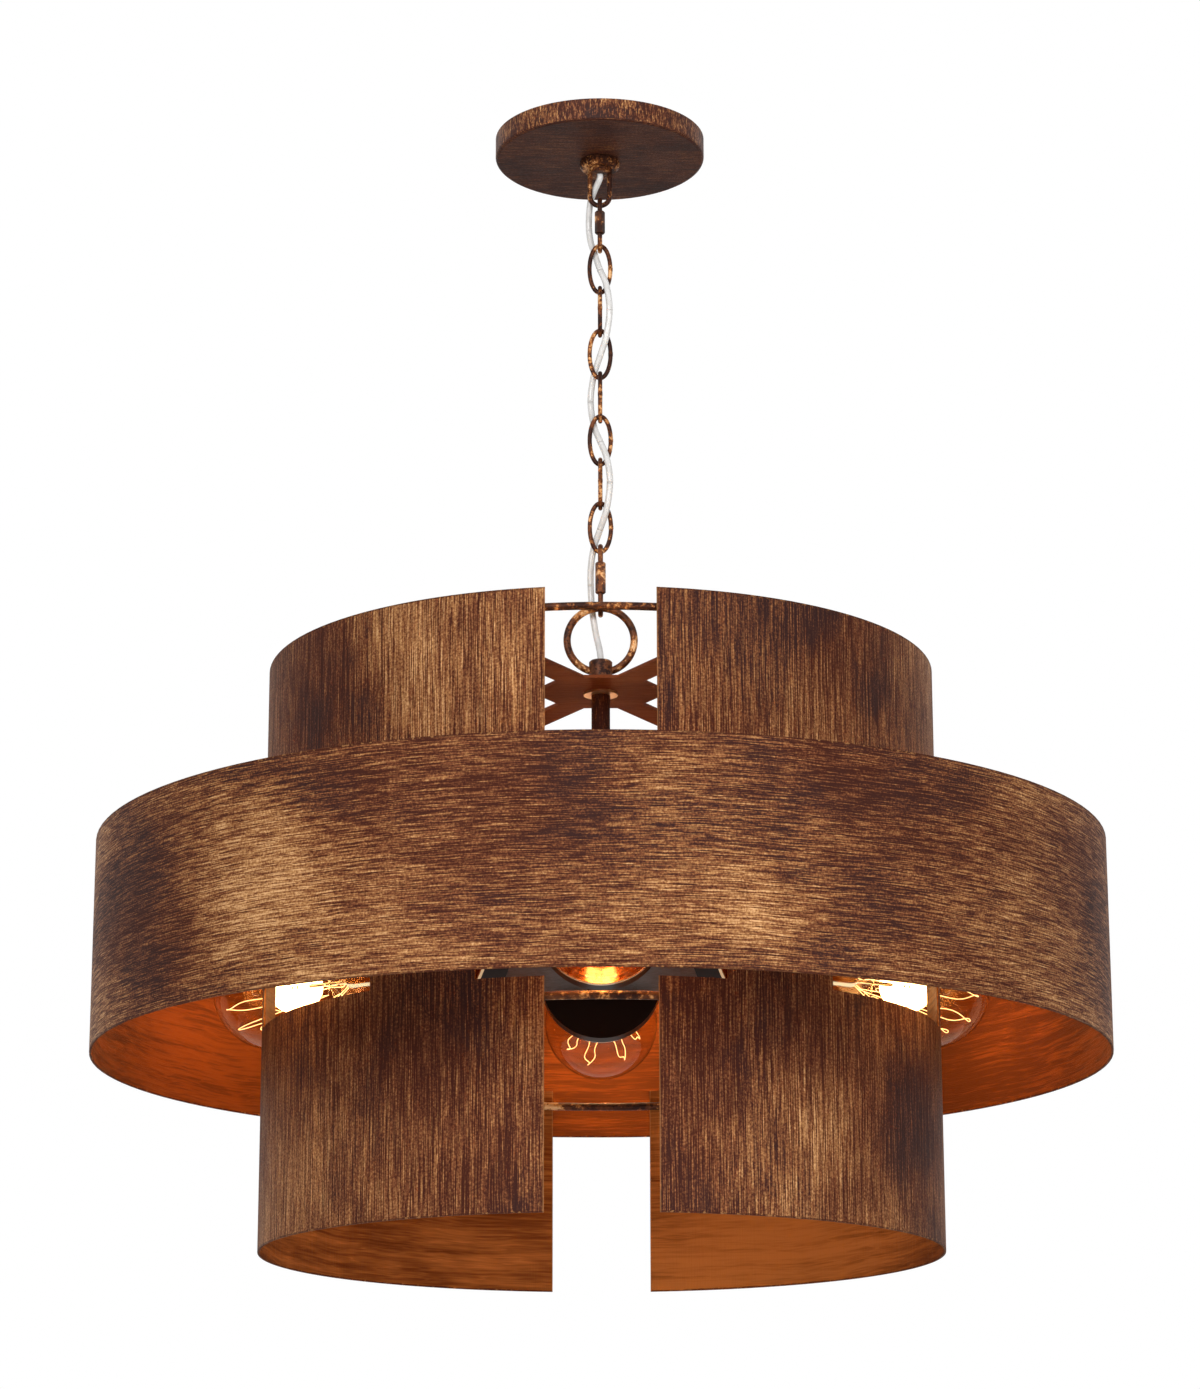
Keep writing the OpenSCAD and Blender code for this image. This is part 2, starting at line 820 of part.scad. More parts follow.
// One lampholder with its threaded tail through the cup and the canister's side
module lampholder() {
    tail_start = canister_d / 2 - canister_wall - 8;
    color("#e9e2d4")
        rotate_extrude()
            difference() {
                union() {
                    translate([0, holder_start])
                        square([holder_d / 2, holder_l - 2]);
                    translate([0, holder_start])
                        square([holder_d / 2 - 2, holder_l]);
                    translate([holder_d / 2 - 2, holder_end - 2])
                        circle(r = 2);
                    translate([0, tail_start])
                        square([holder_thread_d / 2, holder_start - tail_start + 1]);
                }
                translate([0, holder_start + holder_floor])
                    square([base_d / 2 + 0.5, holder_l]);
                translate([0, tail_start - 1])
                    square([3, holder_start - tail_start + 6]);
            }
}

module lampholders() {
    for (lamp = [1 : lamp_n])
        lamp_place(lamp)
            lampholder();
}

module lampholder_contacts() {
    color("#c9a227")
        for (lamp = [1 : lamp_n])
            lamp_place(lamp)
                translate([0, 0, holder_start + holder_floor + seat])
                    cylinder(d = contact_d, h = contact_t);
}

// Half outline of the glass, drawn in by a wall: neck, shoulder curve and round globe
module glass_outline(wall) {
    globe_r = bulb_d / 2 - wall;
    neck_r = neck_d / 2 - wall;
    curve_r = shoulder_r + wall;
    rise = sqrt(pow(globe_r + curve_r, 2) - pow(neck_r + curve_r, 2));
    curve_z = globe_mid - rise;
    meet_x = (neck_r + curve_r) * globe_r / (globe_r + curve_r);
    meet_z = globe_mid - rise * globe_r / (globe_r + curve_r);
    difference() {
        union() {
            polygon([[0, glass_start], [neck_r, glass_start], [neck_r, curve_z],
                [meet_x, meet_z], [0, globe_mid]]);
            intersection() {
                translate([0, globe_mid])
                    circle(r = globe_r, $fn = 96);
                translate([0, meet_z])
                    square([bulb_d, globe_mid + globe_r - tip_flat - meet_z]);
            }
        }
        translate([neck_r + curve_r, curve_z])
            circle(r = curve_r, $fn = 256);
    }
}

module bulb_glass(lamp) {
    color([0.95, 0.9, 0.82, 0.35])
        lamp_place(lamp)
            rotate_extrude($fn = 96)
                difference() {
                    glass_outline(0);
                    translate([0, -eps])
                        glass_outline(glass_wall);
                }
}

// The screw base: centre contact, insulator, threaded shell and the plug inside the neck
module bulb_base(lamp) {
    groove = 1;
    groove_pitch = 3.6;
    shell_start = bulb_start + 4;
    flare = 2;
    plug_r = neck_d / 2 - glass_wall - 0.3;
    color("#cfae62")
        lamp_place(lamp)
            rotate_extrude()
                difference() {
                    polygon([[0, bulb_start], [contact_d / 2, bulb_start],
                        [contact_d / 2, bulb_start + 1.5], [base_d / 2 - 1, shell_start],
                        [base_d / 2, shell_start], [base_d / 2, glass_start - flare],
                        [neck_d / 2, glass_start - seat], [plug_r, glass_start - seat],
                        [plug_r, glass_start + base_plug_l], [0, glass_start + base_plug_l]]);
                    for (turn = [1 : 4])
                        translate([base_d / 2 + 0.4, shell_start + groove_pitch * turn])
                            circle(r = groove, $fn = 24);
                }
}

// Glass mount and glowing hairpins, which stand on the base
module bulb_filament(lamp) {
    mount_r = 4;
    wire = 0.9;
    foot = glass_start + base_plug_l + seat;
    tip = globe_mid - hairpin_gap;
    hub = tip - hairpin_l;
    spread = hairpin_spread;
    color("#ffb347")
        lamp_place(lamp) {
            translate([0, 0, foot])
                cylinder(r = mount_r, h = hub - foot);
            translate([0, 0, hub - eps])
                cylinder(r = 1.2, h = tip - hub);
            for (pin = [0 : hairpin_n - 1])
                rotate([0, 0, pin * 360 / hairpin_n]) {
                    filament_leg(0, hub + 2, spread, (hub + tip) / 2, wire);
                    filament_leg(spread, (hub + tip) / 2, 0, tip - 2, wire);
                }
        }
}

// A straight wire in the XZ plane from one point to another
module filament_leg(x0, z0, x1, z1, wire) {
    length = norm([x1 - x0, z1 - z0]);
    translate([x0, 0, z0])
        rotate([0, atan2(x1 - x0, z1 - z0), 0]) {
            cylinder(d = wire, h = length, $fn = 16);
            sphere(d = wire, $fn = 16);
        }
}

mounting_bar();
nipple();
bar_locknut();
ground_screw();
canopy();
collar_nut();
collar_loop();
upper_quick_link();
upper_link_nut();
for (number = [1 : link_n])
    chain_link(number);
lower_quick_link();
lower_link_nut();
cord();
hanging_ring();
hub_collar();
upper_spider();
stem_washer();
stem();
stem_locknuts();
upper_hoop();
left_panel();
right_panel();
lower_hoop();
lower_spider();
outer_drum();
canister();
canister_cover();
cap_nut();
lamp_cups();
lampholders();
lampholder_contacts();
for (lamp = [1 : lamp_n]) {
    bulb_glass(lamp);
    bulb_base(lamp);
    bulb_filament(lamp);
}
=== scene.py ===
import math

import bmesh
import bpy
from bpy.props import FloatProperty, FloatVectorProperty, IntProperty, PointerProperty
from mathutils import Matrix, Vector


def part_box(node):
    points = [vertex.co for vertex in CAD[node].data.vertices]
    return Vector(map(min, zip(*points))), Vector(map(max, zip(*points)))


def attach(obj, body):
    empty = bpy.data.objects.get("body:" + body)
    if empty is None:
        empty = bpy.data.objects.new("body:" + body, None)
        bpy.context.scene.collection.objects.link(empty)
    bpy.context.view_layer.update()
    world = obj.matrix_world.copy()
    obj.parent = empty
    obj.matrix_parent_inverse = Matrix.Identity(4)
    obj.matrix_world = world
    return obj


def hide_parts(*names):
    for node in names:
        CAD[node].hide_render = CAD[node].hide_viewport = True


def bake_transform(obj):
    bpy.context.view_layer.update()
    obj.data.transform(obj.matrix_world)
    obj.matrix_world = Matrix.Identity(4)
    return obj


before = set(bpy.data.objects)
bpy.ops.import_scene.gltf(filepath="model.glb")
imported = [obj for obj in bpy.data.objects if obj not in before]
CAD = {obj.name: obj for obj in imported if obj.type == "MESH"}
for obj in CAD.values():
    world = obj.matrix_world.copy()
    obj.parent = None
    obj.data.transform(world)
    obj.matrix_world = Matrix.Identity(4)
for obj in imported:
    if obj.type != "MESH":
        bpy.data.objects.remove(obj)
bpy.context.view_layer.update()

bl_info = {
    "name": "Drum Pendant Light",
    "version": (1, 0, 0),
    "blender": (4, 5, 0),
    "location": "View3D > Sidebar > Pendant Light",
    "description": "Dresses a chain-hung drum pendant light with brushed bronze, copper, glass and a woven-in cord",
    "category": "Object",
}

MM = 0.001
LAMP_COUNT = 6
LINK_COUNT = 7

# Sizes that the source also holds, in metres
DRUM_OUTER = 0.3048
PANEL_OUTER = 0.2032
SHEET = 0.0012
OUTER_SKIN = 0.4  # share of the sheet that takes the outside paint
LINK_LENGTH = 0.0345
LINK_WIDTH = 0.016
LINK_WIRE = 0.0028
LINK_PITCH = 0.0286
FIRST_LINK = -0.08785
WELD_HEIGHT = 0.00012
LAMP_HEIGHT = (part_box("lampholders")[0].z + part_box("lampholders")[1].z) / 2
CUP_BACK = 0.0805
CUP_RIM = 0.0985
CUP_INSIDE = 0.0374
GLOBE_MIDDLE = 0.24135
GLASS_FOOT = 0.12985

# The filament round the lamp's axis: heights are from the middle of the globe
FILAMENT_LOW = -0.048
FILAMENT_RISE = 0.067
FILAMENT_NEAR = 0.011
FILAMENT_SPREAD = 0.015
FILAMENT_ENDS = -0.058
FILAMENT_TURN = 0.95  # share of a full turn that the loops take up
CRIMPS_PER_RUN = 2.5
CRIMP_DEPTH = 0.0010
CRIMP_TURN = 0.045
HOOK_RADIUS = 0.0002
LAMP_LIGHT_COLOUR = (1.0, 0.62, 0.26)
LAMP_LIGHT_HEIGHT = -0.018

# Fine marks of the finish, and the widths of painted highlights, in metres
EDGE_LINE = 0.0009
GAP_EDGE_HIGHLIGHT = 0.0006
CUP_RIM_HIGHLIGHT = 0.0026
CUP_RING_PITCH = 0.0033

# Camera, and the point that the studio lights aim at
CAMERA_PLACE = (-0.0015, -2.270, -0.9752)
CAMERA_TURN = (math.radians(105.0), math.radians(0.1), 0)
CAMERA_LENS = 99.0
LIGHT_TARGET = (0, 0, -0.6)
FLOOR_BRIGHTENING = 0.62  # share of plain white that the camera sees in the floor

# Places where more gold (above 0) or less was rubbed in: middle, size and strength
DRUM_RUBS = [
    ((-0.18, -0.246, -0.555), 0.075, 0.24), ((-0.09, -0.290, -0.580), 0.060, 0.12),
    ((0.025, -0.304, -0.545), 0.070, 0.12), ((0.09, -0.291, -0.560), 0.080, 0.18),
    ((0.19, -0.239, -0.550), 0.060, 0.10), ((-0.255, -0.167, -0.530), 0.070, -0.24),
    ((-0.147, -0.267, -0.495), 0.045, -0.26), ((0.145, -0.268, -0.485), 0.080, -0.20),
    ((-0.05, -0.300, -0.510), 0.055, -0.14), ((0.273, -0.135, -0.525), 0.060, -0.10),
]
PANEL_RUBS = [
    ((-0.164, -0.119, -0.400), 0.050, -0.24), ((-0.080, -0.187, -0.410), 0.045, 0.18),
    ((-0.130, -0.156, -0.675), 0.055, 0.16), ((-0.113, -0.169, -0.590), 0.060, -0.16),
    ((-0.180, -0.094, -0.604), 0.055, -0.16), ((0.056, -0.195, -0.390), 0.045, 0.12),
    ((0.107, -0.173, -0.415), 0.035, 0.14), ((0.150, -0.137, -0.371), 0.050, -0.28),
    ((0.100, -0.175, -0.580), 0.070, -0.22), ((0.105, -0.173, -0.670), 0.050, 0.24),
    ((0.183, -0.089, -0.633), 0.050, -0.16), ((0, -0.190, -0.680), 0.230, -0.17),
    ((0, 0.190, -0.680), 0.230, -0.17),
]
# Painted shade (above 0) and painted light (below 0) in the linings, where they are lit less or more
PANEL_PAINTED_LIGHT_AND_SHADE = [((0.130, 0.145, -0.690), 0.150, -0.34), ((-0.130, 0.145, -0.690), 0.080, 0.10)]
DRUM_PAINTED_SHADE = [((0, 0.303, -0.580), 0.150, 0.34), ((0.235, 0.190, -0.580), 0.170, 0.50)]

# Route of the cord from the ceiling loop, in and out of the chain, to the hub: millimetres
CORD_ROUTE = [
    (0, 0, -22), (0, 0, -26), (-3, 3, -32), (-6, 6, -40), (-7, 6, -54), (-6, 6, -66),
    (-3, 4, -77), (0, 0, -88), (4, -4, -100), (6, -6, -117), (4, -4, -134), (0, 0, -146),
    (-4, 4, -158), (-6, 6, -174), (-4, 4, -191), (0, 0, -203), (4, -4, -215), (6, -6, -231),
    (4, -4, -248), (0, 0, -260), (-4, 4, -271), (-6, 6, -284), (-6, 7, -298), (-5, 7, -312),
    (-3, 6, -326), (-1, 3, -336), (0, 0, -344), (0, 0, -350),
]
# Heights where one stretch of cord meets the next, half way along each link
CORD_CUTS = [-22, -59.6, -89.1, -118, -146.6, -175.2, -203.8, -232.4, -261, -295.5, -350]
CORD_STEPS = 12
CORD_NEAREST = 0.3  # a route point nearer than this to a cut is left out


# Settings

def colour(name, text, value):
    return FloatVectorProperty(name=name, description=text, subtype="COLOR", size=3, min=0, max=1, default=value)


class BronzeSettings(bpy.types.PropertyGroup):
    shadow: colour("Shadow brown", "Red-brown paint between the strokes", (0.043, 0.0115, 0.0063))
    body: colour("Body brown", "Paint of middle tone", (0.152, 0.049, 0.0200))
    gold: colour("Gold", "Brushed gold over the brown", (0.320, 0.150, 0.053))
    glint: colour("Glint", "Finest, brightest strokes", (0.56, 0.315, 0.145))
    fitting_gold: colour("Fitting gold", "Rubbed gold of the chain and fittings", (0.40, 0.165, 0.045))
    fitting_brown: colour("Fitting brown", "Brown of the chain and fittings", (0.140, 0.042, 0.0125))
    plum: colour("Plum", "Dark smoke over the strokes", (0.030, 0.0125, 0.0105))


class CopperSettings(bpy.types.PropertyGroup):
    lining: colour("Lining copper", "Paint inside the inner panels", (0.400, 0.122, 0.0260))
    # The lining copper made darker and redder inside the drum: painted shade and painted warm lamp light
    drum_lining_painted_shade: colour("Drum lining copper", "Paint inside the drum", (0.210, 0.043, 0.0050))
    grain: colour("Lining grain", "Long strokes in the lining", (0.105, 0.022, 0.003))
    cup: colour("Cup copper", "Gloss paint inside the cups", (0.300, 0.062, 0.0085))
    # Cup back: dark paint made near-black, as painted shade on the backs of the cups
    cup_back_dark_and_shaded: colour("Cup back", "Paint outside the cups", (0.011, 0.0040, 0.0022))


class CordSettings(bpy.types.PropertyGroup):
    diameter: FloatProperty(name="Diameter", description="Outer diameter of the cord", default=0.004,
                            min=0.003, max=0.0044, unit="LENGTH")
    sides: IntProperty(name="Sides", description="Faces round the cord", default=16, min=8, max=32)
    jacket: colour("Jacket", "Clear jacket over white wires", (0.60, 0.59, 0.58))


class LampSettings(bpy.types.PropertyGroup):
    loops: IntProperty(name="Filament loops", description="Up and down runs of the filament", default=9,
                       min=3, max=12)
    wire: FloatProperty(name="Filament wire", description="Diameter of the glowing wire", default=0.0005,
                        min=0.0003, max=0.0015, unit="LENGTH")
    glow: FloatProperty(name="Glow", description="Strength of the glowing wire", default=2.2, min=0, max=60)
    warmth: colour("Warmth", "Colour of the glow", (1.0, 0.52, 0.17))
    light: FloatProperty(name="Lamp light", description="Light that each lamp gives", default=0.28, min=0, max=10,
                         unit="POWER")


class StageSettings(bpy.types.PropertyGroup):
    key: FloatProperty(name="Key light", description="Power of the large soft light", default=56, min=0, unit="POWER")
    fill: FloatProperty(name="Fill light", description="Power of the light on the other side", default=34, min=0,
                        unit="POWER")
    sky: FloatProperty(name="Surrounding light", description="Strength of the light from all round", default=0.42,
                       min=0, max=2)
    floor_drop: FloatProperty(name="Floor drop", description="Height of the ceiling above the floor", default=2.1,
                              min=1, max=4, unit="LENGTH")


# Node helpers

class Tree:
    """Shorthand for making and joining the nodes of one tree."""

    def __init__(self, tree):
        self.tree = tree

    def node(self, kind, **settings):
        made = self.tree.nodes.new("ShaderNode" + kind)
        for name, value in settings.items():
            setattr(made, name, value)
        return made

    def feed(self, node, **inputs):
        for name, value in inputs.items():
            socket = node.inputs[int(name[1:])] if name[0] == "_" else node.inputs[name.replace("_", " ")]
            if isinstance(value, bpy.types.NodeSocket):
                self.tree.links.new(value, socket)
            else:
                socket.default_value = value
        return node

    def math(self, operation, *values):
        made = self.node("Math", operation=operation)
        self.feed(made, **{f"_{n}": value for n, value in enumerate(values)})
        return made.outputs[0]

    def vector(self, operation, *values):
        made = self.node("VectorMath", operation=operation)
        self.feed(made, **{f"_{n}": value for n, value in enumerate(values)})
        return made.outputs["Value"] if operation in ("LENGTH", "DISTANCE", "DOT_PRODUCT") else made.outputs[0]

    def noise(self, vector, scale, detail=3.0, roughness=0.55, distortion=0.0):
        made = self.node("TexNoise")
        self.feed(made, Vector=vector, Scale=scale, Detail=detail, Roughness=roughness, Distortion=distortion)
        return made.outputs["Fac"]

    def ramp(self, value, low, high, out_low=0.0, out_high=1.0):
        made = self.node("MapRange", interpolation_type="SMOOTHSTEP")
        self.feed(made, Value=value, From_Min=low, From_Max=high, To_Min=out_low, To_Max=out_high)
        return made.outputs[0]

    def mix(self, share, first, second):
        made = self.node("Mix", data_type="RGBA", blend_type="MIX")
        first = first if isinstance(first, bpy.types.NodeSocket) else (*first, 1)
        second = second if isinstance(second, bpy.types.NodeSocket) else (*second, 1)
        self.feed(made, _0=share, _6=first, _7=second)
        return made.outputs[2]

    def group(self, tree, **inputs):
        made = self.node("Group", node_tree=tree)
        return self.feed(made, **inputs)

    def place(self):
        return self.node("TexCoord").outputs["Object"]

    def parts(self, vector):
        made = self.feed(self.node("SeparateXYZ"), Vector=vector)
        return made.outputs

    def distance(self, first, second):
        """How far a point is from 0, from two coordinates at right angles."""
        return self.math("SQRT", self.math("ADD", self.math("MULTIPLY", first, first),
                                           self.math("MULTIPLY", second, second)))


def group_tree(name, inputs, outputs):
    tree = bpy.data.node_groups.new(name, "ShaderNodeTree")
    for label, kind, default in inputs:
        socket = tree.interface.new_socket(label, in_out="INPUT", socket_type="NodeSocket" + kind)
        if default is not None:
            socket.default_value = default
    for label, kind in outputs:
        tree.interface.new_socket(label, in_out="OUTPUT", socket_type="NodeSocket" + kind)
    return Tree(tree), tree.nodes.new("NodeGroupInput").outputs, tree.nodes.new("NodeGroupOutput")


def brush_strokes():
    """Strokes of a dry brush: broad soft ones, fine hairs over them and a little grain. All lie around 0."""
    t, given, out = group_tree("Brush strokes", [
        ("Vector", "Vector", None), ("Stretch", "Vector", (1, 1, 1)), ("Hair stretch", "Vector", (1, 1, 1)),
        ("Wander", "Float", 0.002)], [("Strokes", "Float"), ("Hairs", "Float"), ("Grain", "Float")])
    bend = t.feed(t.node("TexNoise"), Vector=given["Vector"], Scale=9.0, Detail=2.0)
    shift = t.vector("SUBTRACT", bend.outputs["Color"], (0.5, 0.5, 0.5))
    wander = t.node("VectorMath", operation="SCALE")
    t.feed(wander, _0=shift, Scale=given["Wander"])
    moved = t.vector("ADD", given["Vector"], wander.outputs[0])
    broad = t.noise(t.vector("MULTIPLY", moved, given["Stretch"]), 1.0, 2.0, 0.5)
    laid = t.vector("MULTIPLY", moved, given["Hair stretch"])
    hairs = t.ramp(t.noise(laid, 1.0, 2.0, 0.7, 0.2), 0.36, 0.64)
    finer = t.ramp(t.noise(t.vector("MULTIPLY", laid, (1.9, 1.9, 1.9)), 1.0, 1.0, 0.6), 0.40, 0.62)
    wide = t.noise(t.vector("MULTIPLY", laid, (0.7, 0.7, 0.7)), 1.0, 1.0)
    scratch = t.ramp(t.math("ABSOLUTE", t.math("SUBTRACT", wide, 0.5)), 0.035, 0.005)
    grain = t.noise(given["Vector"], 800.0, 1.0, 0.6)
    lines = t.math("MULTIPLY_ADD", hairs, 0.68, t.math("MULTIPLY", finer, 0.32))
    lines = t.math("MULTIPLY_ADD", scratch, -0.38, lines)
    t.feed(out, Strokes=t.math("SUBTRACT", broad, 0.5), Hairs=t.math("SUBTRACT", lines, 0.44),
           Grain=t.math("SUBTRACT", grain, 0.5))
    return t.tree


def paint_clouds():
    """Large soft patches, where the paint was rubbed more or less."""
    t, given, out = group_tree("Paint clouds", [
        ("Vector", "Vector", None), ("Stretch", "Vector", (5, 5, 5)), ("Low", "Float", 0.4), ("High", "Float", 0.6)],
        [("Mask", "Float")])
    patch = t.node("TexNoise")
    t.feed(patch, Vector=t.vector("MULTIPLY", given["Vector"], given["Stretch"]), Scale=1.0, Detail=4.0,
           Roughness=0.55, Distortion=0.5)
    mask = t.node("MapRange", interpolation_type="SMOOTHSTEP")
    t.feed(mask, Value=patch.outputs["Fac"], From_Min=given["Low"], From_Max=given["High"])
    t.feed(out, Mask=mask.outputs[0])
    return t.tree


def soft_patch():
    """A round area with a soft edge, where more or less gold was rubbed in."""
    t, given, out = group_tree("Soft patch", [
        ("Vector", "Vector", None), ("Centre", "Vector", (0, 0, 0)), ("Size", "Float", 0.05)], [("Mask", "Float")])
    away = t.math("DIVIDE", t.vector("DISTANCE", given["Vector"], given["Centre"]), given["Size"])
    t.feed(out, Mask=t.ramp(away, 1.5, 0.1))
    return t.tree


def bronze_tones():
    """Turns a tone from 0 to 1 into brown, middle brown, gold and glint."""
    t, given, out = group_tree("Bronze tones", [
        ("Tone", "Float", 0.5), ("Dark", "Color", None), ("Middle", "Color", None), ("Gold", "Color", None),
        ("Glint", "Color", None)], [("Color", "Color")])
    paint = t.mix(t.ramp(given["Tone"], 0.0, 0.46), given["Dark"], given["Middle"])
    paint = t.mix(t.ramp(given["Tone"], 0.40, 0.76), paint, given["Gold"])
    t.feed(out, Color=t.mix(t.ramp(given["Tone"], 0.74, 1.05), paint, given["Glint"]))
    return t.tree


def rim_line():
    """The thin, uneven line along an edge."""
    t, given, out = group_tree("Rim line", [
        ("Height", "Float", 0.0), ("Low", "Float", 0.0), ("High", "Float", 1.0), ("Width", "Float", 0.0006),
        ("Vector", "Vector", None)], [("Mask", "Float")])
    above = t.math("SUBTRACT", given["Height"], given["Low"])
    below = t.math("SUBTRACT", given["High"], given["Height"])
    near = t.math("MINIMUM", above, below)
    rough = t.math("MULTIPLY", t.noise(given["Vector"], 60.0, 3.0), given["Width"])
    line = t.math("LESS_THAN", near, t.math("MULTIPLY", rough, 2.0))
    t.feed(out, Mask=line)
    return t.tree


def rubbed_specks():
    """Small bright specks and dark hollows of a rubbed, hand-worn finish."""
    t, given, out = group_tree("Rubbed specks", [
        ("Vector", "Vector", None), ("Scale", "Float", 300.0)],
        [("Bright", "Float"), ("Hollow", "Float"), ("Height", "Float")])
    speck = t.node("TexNoise")
    t.feed(speck, Vector=given["Vector"], Scale=given["Scale"], Detail=4.0, Roughness=0.65)
    broad = t.node("TexNoise")
    t.feed(broad, Vector=given["Vector"], Scale=t.math("MULTIPLY", given["Scale"], 0.18), Detail=2.0)
    both = t.math("MULTIPLY_ADD", broad.outputs["Fac"], 0.5, t.math("MULTIPLY", speck.outputs["Fac"], 0.5))
    t.feed(out, Bright=t.ramp(both, 0.50, 0.62), Hollow=t.ramp(both, 0.46, 0.36), Height=speck.outputs["Fac"])
    return t.tree


GROUPS = {}


def shared_groups():
    if not GROUPS:
        GROUPS.update(strokes=brush_strokes(), clouds=paint_clouds(), tones=bronze_tones(), patch=soft_patch(),
                      rim=rim_line(), specks=rubbed_specks())
    return GROUPS


def new_material(name, **sockets):
    """A material with its Principled shader; constants go straight on the shader's sockets."""
    made = bpy.data.materials.new(name)
    made.use_nodes = True
    t = Tree(made.node_tree)
    shader = made.node_tree.nodes["Principled BSDF"]
    t.feed(shader, **sockets)
    return made, t, shader


def bump(t, shader, height, depth, strength=0.5):
    made = t.node("Bump")
    t.feed(made, Height=height, Distance=depth, Strength=strength)
    t.feed(shader, Normal=made.outputs[0])


# Materials

def bronze_paint(t, place, brush, finish, patch=(4, 4, 8), tone=0.42, rub=0.42, contrast=1.0, rubs=()):
    """Brown paint under brushed gold: gives the colour, the tone and the strokes' height."""
    groups = shared_groups()
    rubbed = t.group(groups["clouds"], Vector=place, Stretch=patch, Low=0.36, High=0.64).outputs[0]
    smoke = t.group(groups["clouds"], Vector=t.vector("ADD", place, (3.1, 1.7, 0.6)),
                    Stretch=[v * 1.3 for v in patch], Low=0.46, High=0.66).outputs[0]
    laid = t.group(groups["strokes"], Vector=place, Stretch=brush[0], Hair_stretch=brush[1], Wander=brush[2]).outputs
    value = t.math("MULTIPLY_ADD", rubbed, rub, tone - rub / 2)
    if rubs:
        drift = t.feed(t.node("TexNoise"), Vector=place, Scale=22.0, Detail=3.0).outputs["Color"]
        drift = t.vector("MULTIPLY_ADD", drift, (0.07, 0.07, 0.05), (-0.035, -0.035, -0.025))
        near = t.vector("ADD", place, drift)
        for centre, size, strength in rubs:
            mask = t.group(groups["patch"], Vector=near, Centre=centre, Size=size).outputs[0]
            value = t.math("MULTIPLY_ADD", mask, strength, value)
    value = t.math("MULTIPLY_ADD", smoke, -0.20, value)
    value = t.math("MULTIPLY_ADD", laid["Strokes"], 0.36 * contrast, value)
    value = t.math("MULTIPLY_ADD", laid["Hairs"], 0.92 * contrast, value)
    value = t.math("MULTIPLY_ADD", laid["Grain"], 1.05 * contrast, value)
    dark = t.mix(smoke, finish.shadow, finish.plum)
    paint = t.group(groups["tones"], Tone=value, Dark=dark, Middle=(*finish.body, 1), Gold=(*finish.gold, 1),
                    Glint=(*finish.glint, 1)).outputs[0]
    return paint, value, laid["Hairs"]


def sheet_material(name, radius, brush, node, finish, lining_paint, patch, tone, rubs, grained, worn, shades):
    """Outside: brushed bronze. Inside: copper lining with long level strokes."""
    made, t, shader = new_material(name, Metallic=0.12, Specular_IOR_Level=0.04)
    groups = shared_groups()
    place = t.place()
    xyz = t.parts(place)
    outside, value, height = bronze_paint(t, place, brush, finish, patch, tone, 0.26, 1.0, rubs)
    grain = t.group(groups["strokes"], Vector=place, Stretch=(7, 7, 160), Hair_stretch=(26, 26, 520),
                    Wander=0.012).outputs
    lining_cloud = t.group(groups["clouds"], Vector=place, Stretch=(7, 7, 16), Low=0.36, High=0.64).outputs[0]
    share = t.math("MULTIPLY_ADD", grain["Strokes"], 1.1 * grained,
                   t.math("MULTIPLY_ADD", grain["Hairs"], 0.40 * grained, worn))
    # Painted shade and painted light in the lining: patches that add more or less of the dark grain
    for centre, size, strength in shades:
        mask = t.group(groups["patch"], Vector=place, Centre=centre, Size=size).outputs[0]
        share = t.math("MULTIPLY_ADD", mask, strength, share)
    share = t.math("MULTIPLY_ADD", lining_cloud, 0.30, share)
    lining = t.mix(t.ramp(share, 0.0, 1.0), *lining_paint)
    reach = t.distance(xyz["X"], xyz["Y"])
    is_outside = t.math("GREATER_THAN", reach, radius - SHEET * OUTER_SKIN)
    paint = t.mix(is_outside, lining, outside)
    low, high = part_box(node)
    # A thin dark line along the top and bottom edges, with gold flecks in it
    rim = t.group(groups["rim"], Height=xyz["Z"], Low=low.z, High=high.z, Width=EDGE_LINE, Vector=place).outputs[0]
    paint = t.mix(t.math("MULTIPLY", rim, 0.7), paint, finish.shadow)
    fleck = t.math("MULTIPLY", rim, t.ramp(t.noise(place, 420.0, 2.0), 0.56, 0.66))
    paint = t.mix(t.math("MULTIPLY", fleck, 0.6), paint, finish.gold)
    # Painted highlight: a thin gold line along the panels' edges at the gap
    if node != "outer_drum":
        gap_highlight = t.math("LESS_THAN", t.math("ABSOLUTE", xyz["X"]), min(abs(low.x), abs(high.x)) + GAP_EDGE_HIGHLIGHT)
        paint = t.mix(t.math("MULTIPLY", gap_highlight, 0.45), paint, finish.gold)
    rough = t.math("MULTIPLY_ADD", value, -0.12, 0.60)
    t.feed(shader, Base_Color=paint, Roughness=rough)
    bump(t, shader, height, 0.0003, 0.35)
    return made


def fitting_material(name, finish, scale=420.0, tone=0.42):
    """Rubbed bronze of the chain, ring and fittings: gold specks over red-brown."""
    made, t, shader = new_material(name, Metallic=0.25, Specular_IOR_Level=0.15)
    place = t.place()
    groups = shared_groups()
    specks = t.group(groups["specks"], Vector=place, Scale=scale).outputs
    worn = t.group(groups["clouds"], Vector=place, Stretch=(60, 60, 60), Low=0.36, High=0.66).outputs[0]
    value = t.math("MULTIPLY_ADD", specks["Bright"], 0.85, tone - 0.38)
    value = t.math("MULTIPLY_ADD", specks["Hollow"], -0.55, value)
    value = t.math("MULTIPLY_ADD", worn, 0.34, value)
    paint = t.group(groups["tones"], Tone=value, Dark=(0.022, 0.0055, 0.0022, 1),
                    Middle=(*finish.fitting_brown, 1), Gold=(*finish.fitting_gold, 1),
                    Glint=(*finish.glint, 1)).outputs[0]
    t.feed(shader, Base_Color=paint, Roughness=t.ramp(specks["Bright"], 0.0, 1.0, 0.44, 0.30))
    bump(t, shader, specks["Height"], 0.0002, 0.4)
    return made


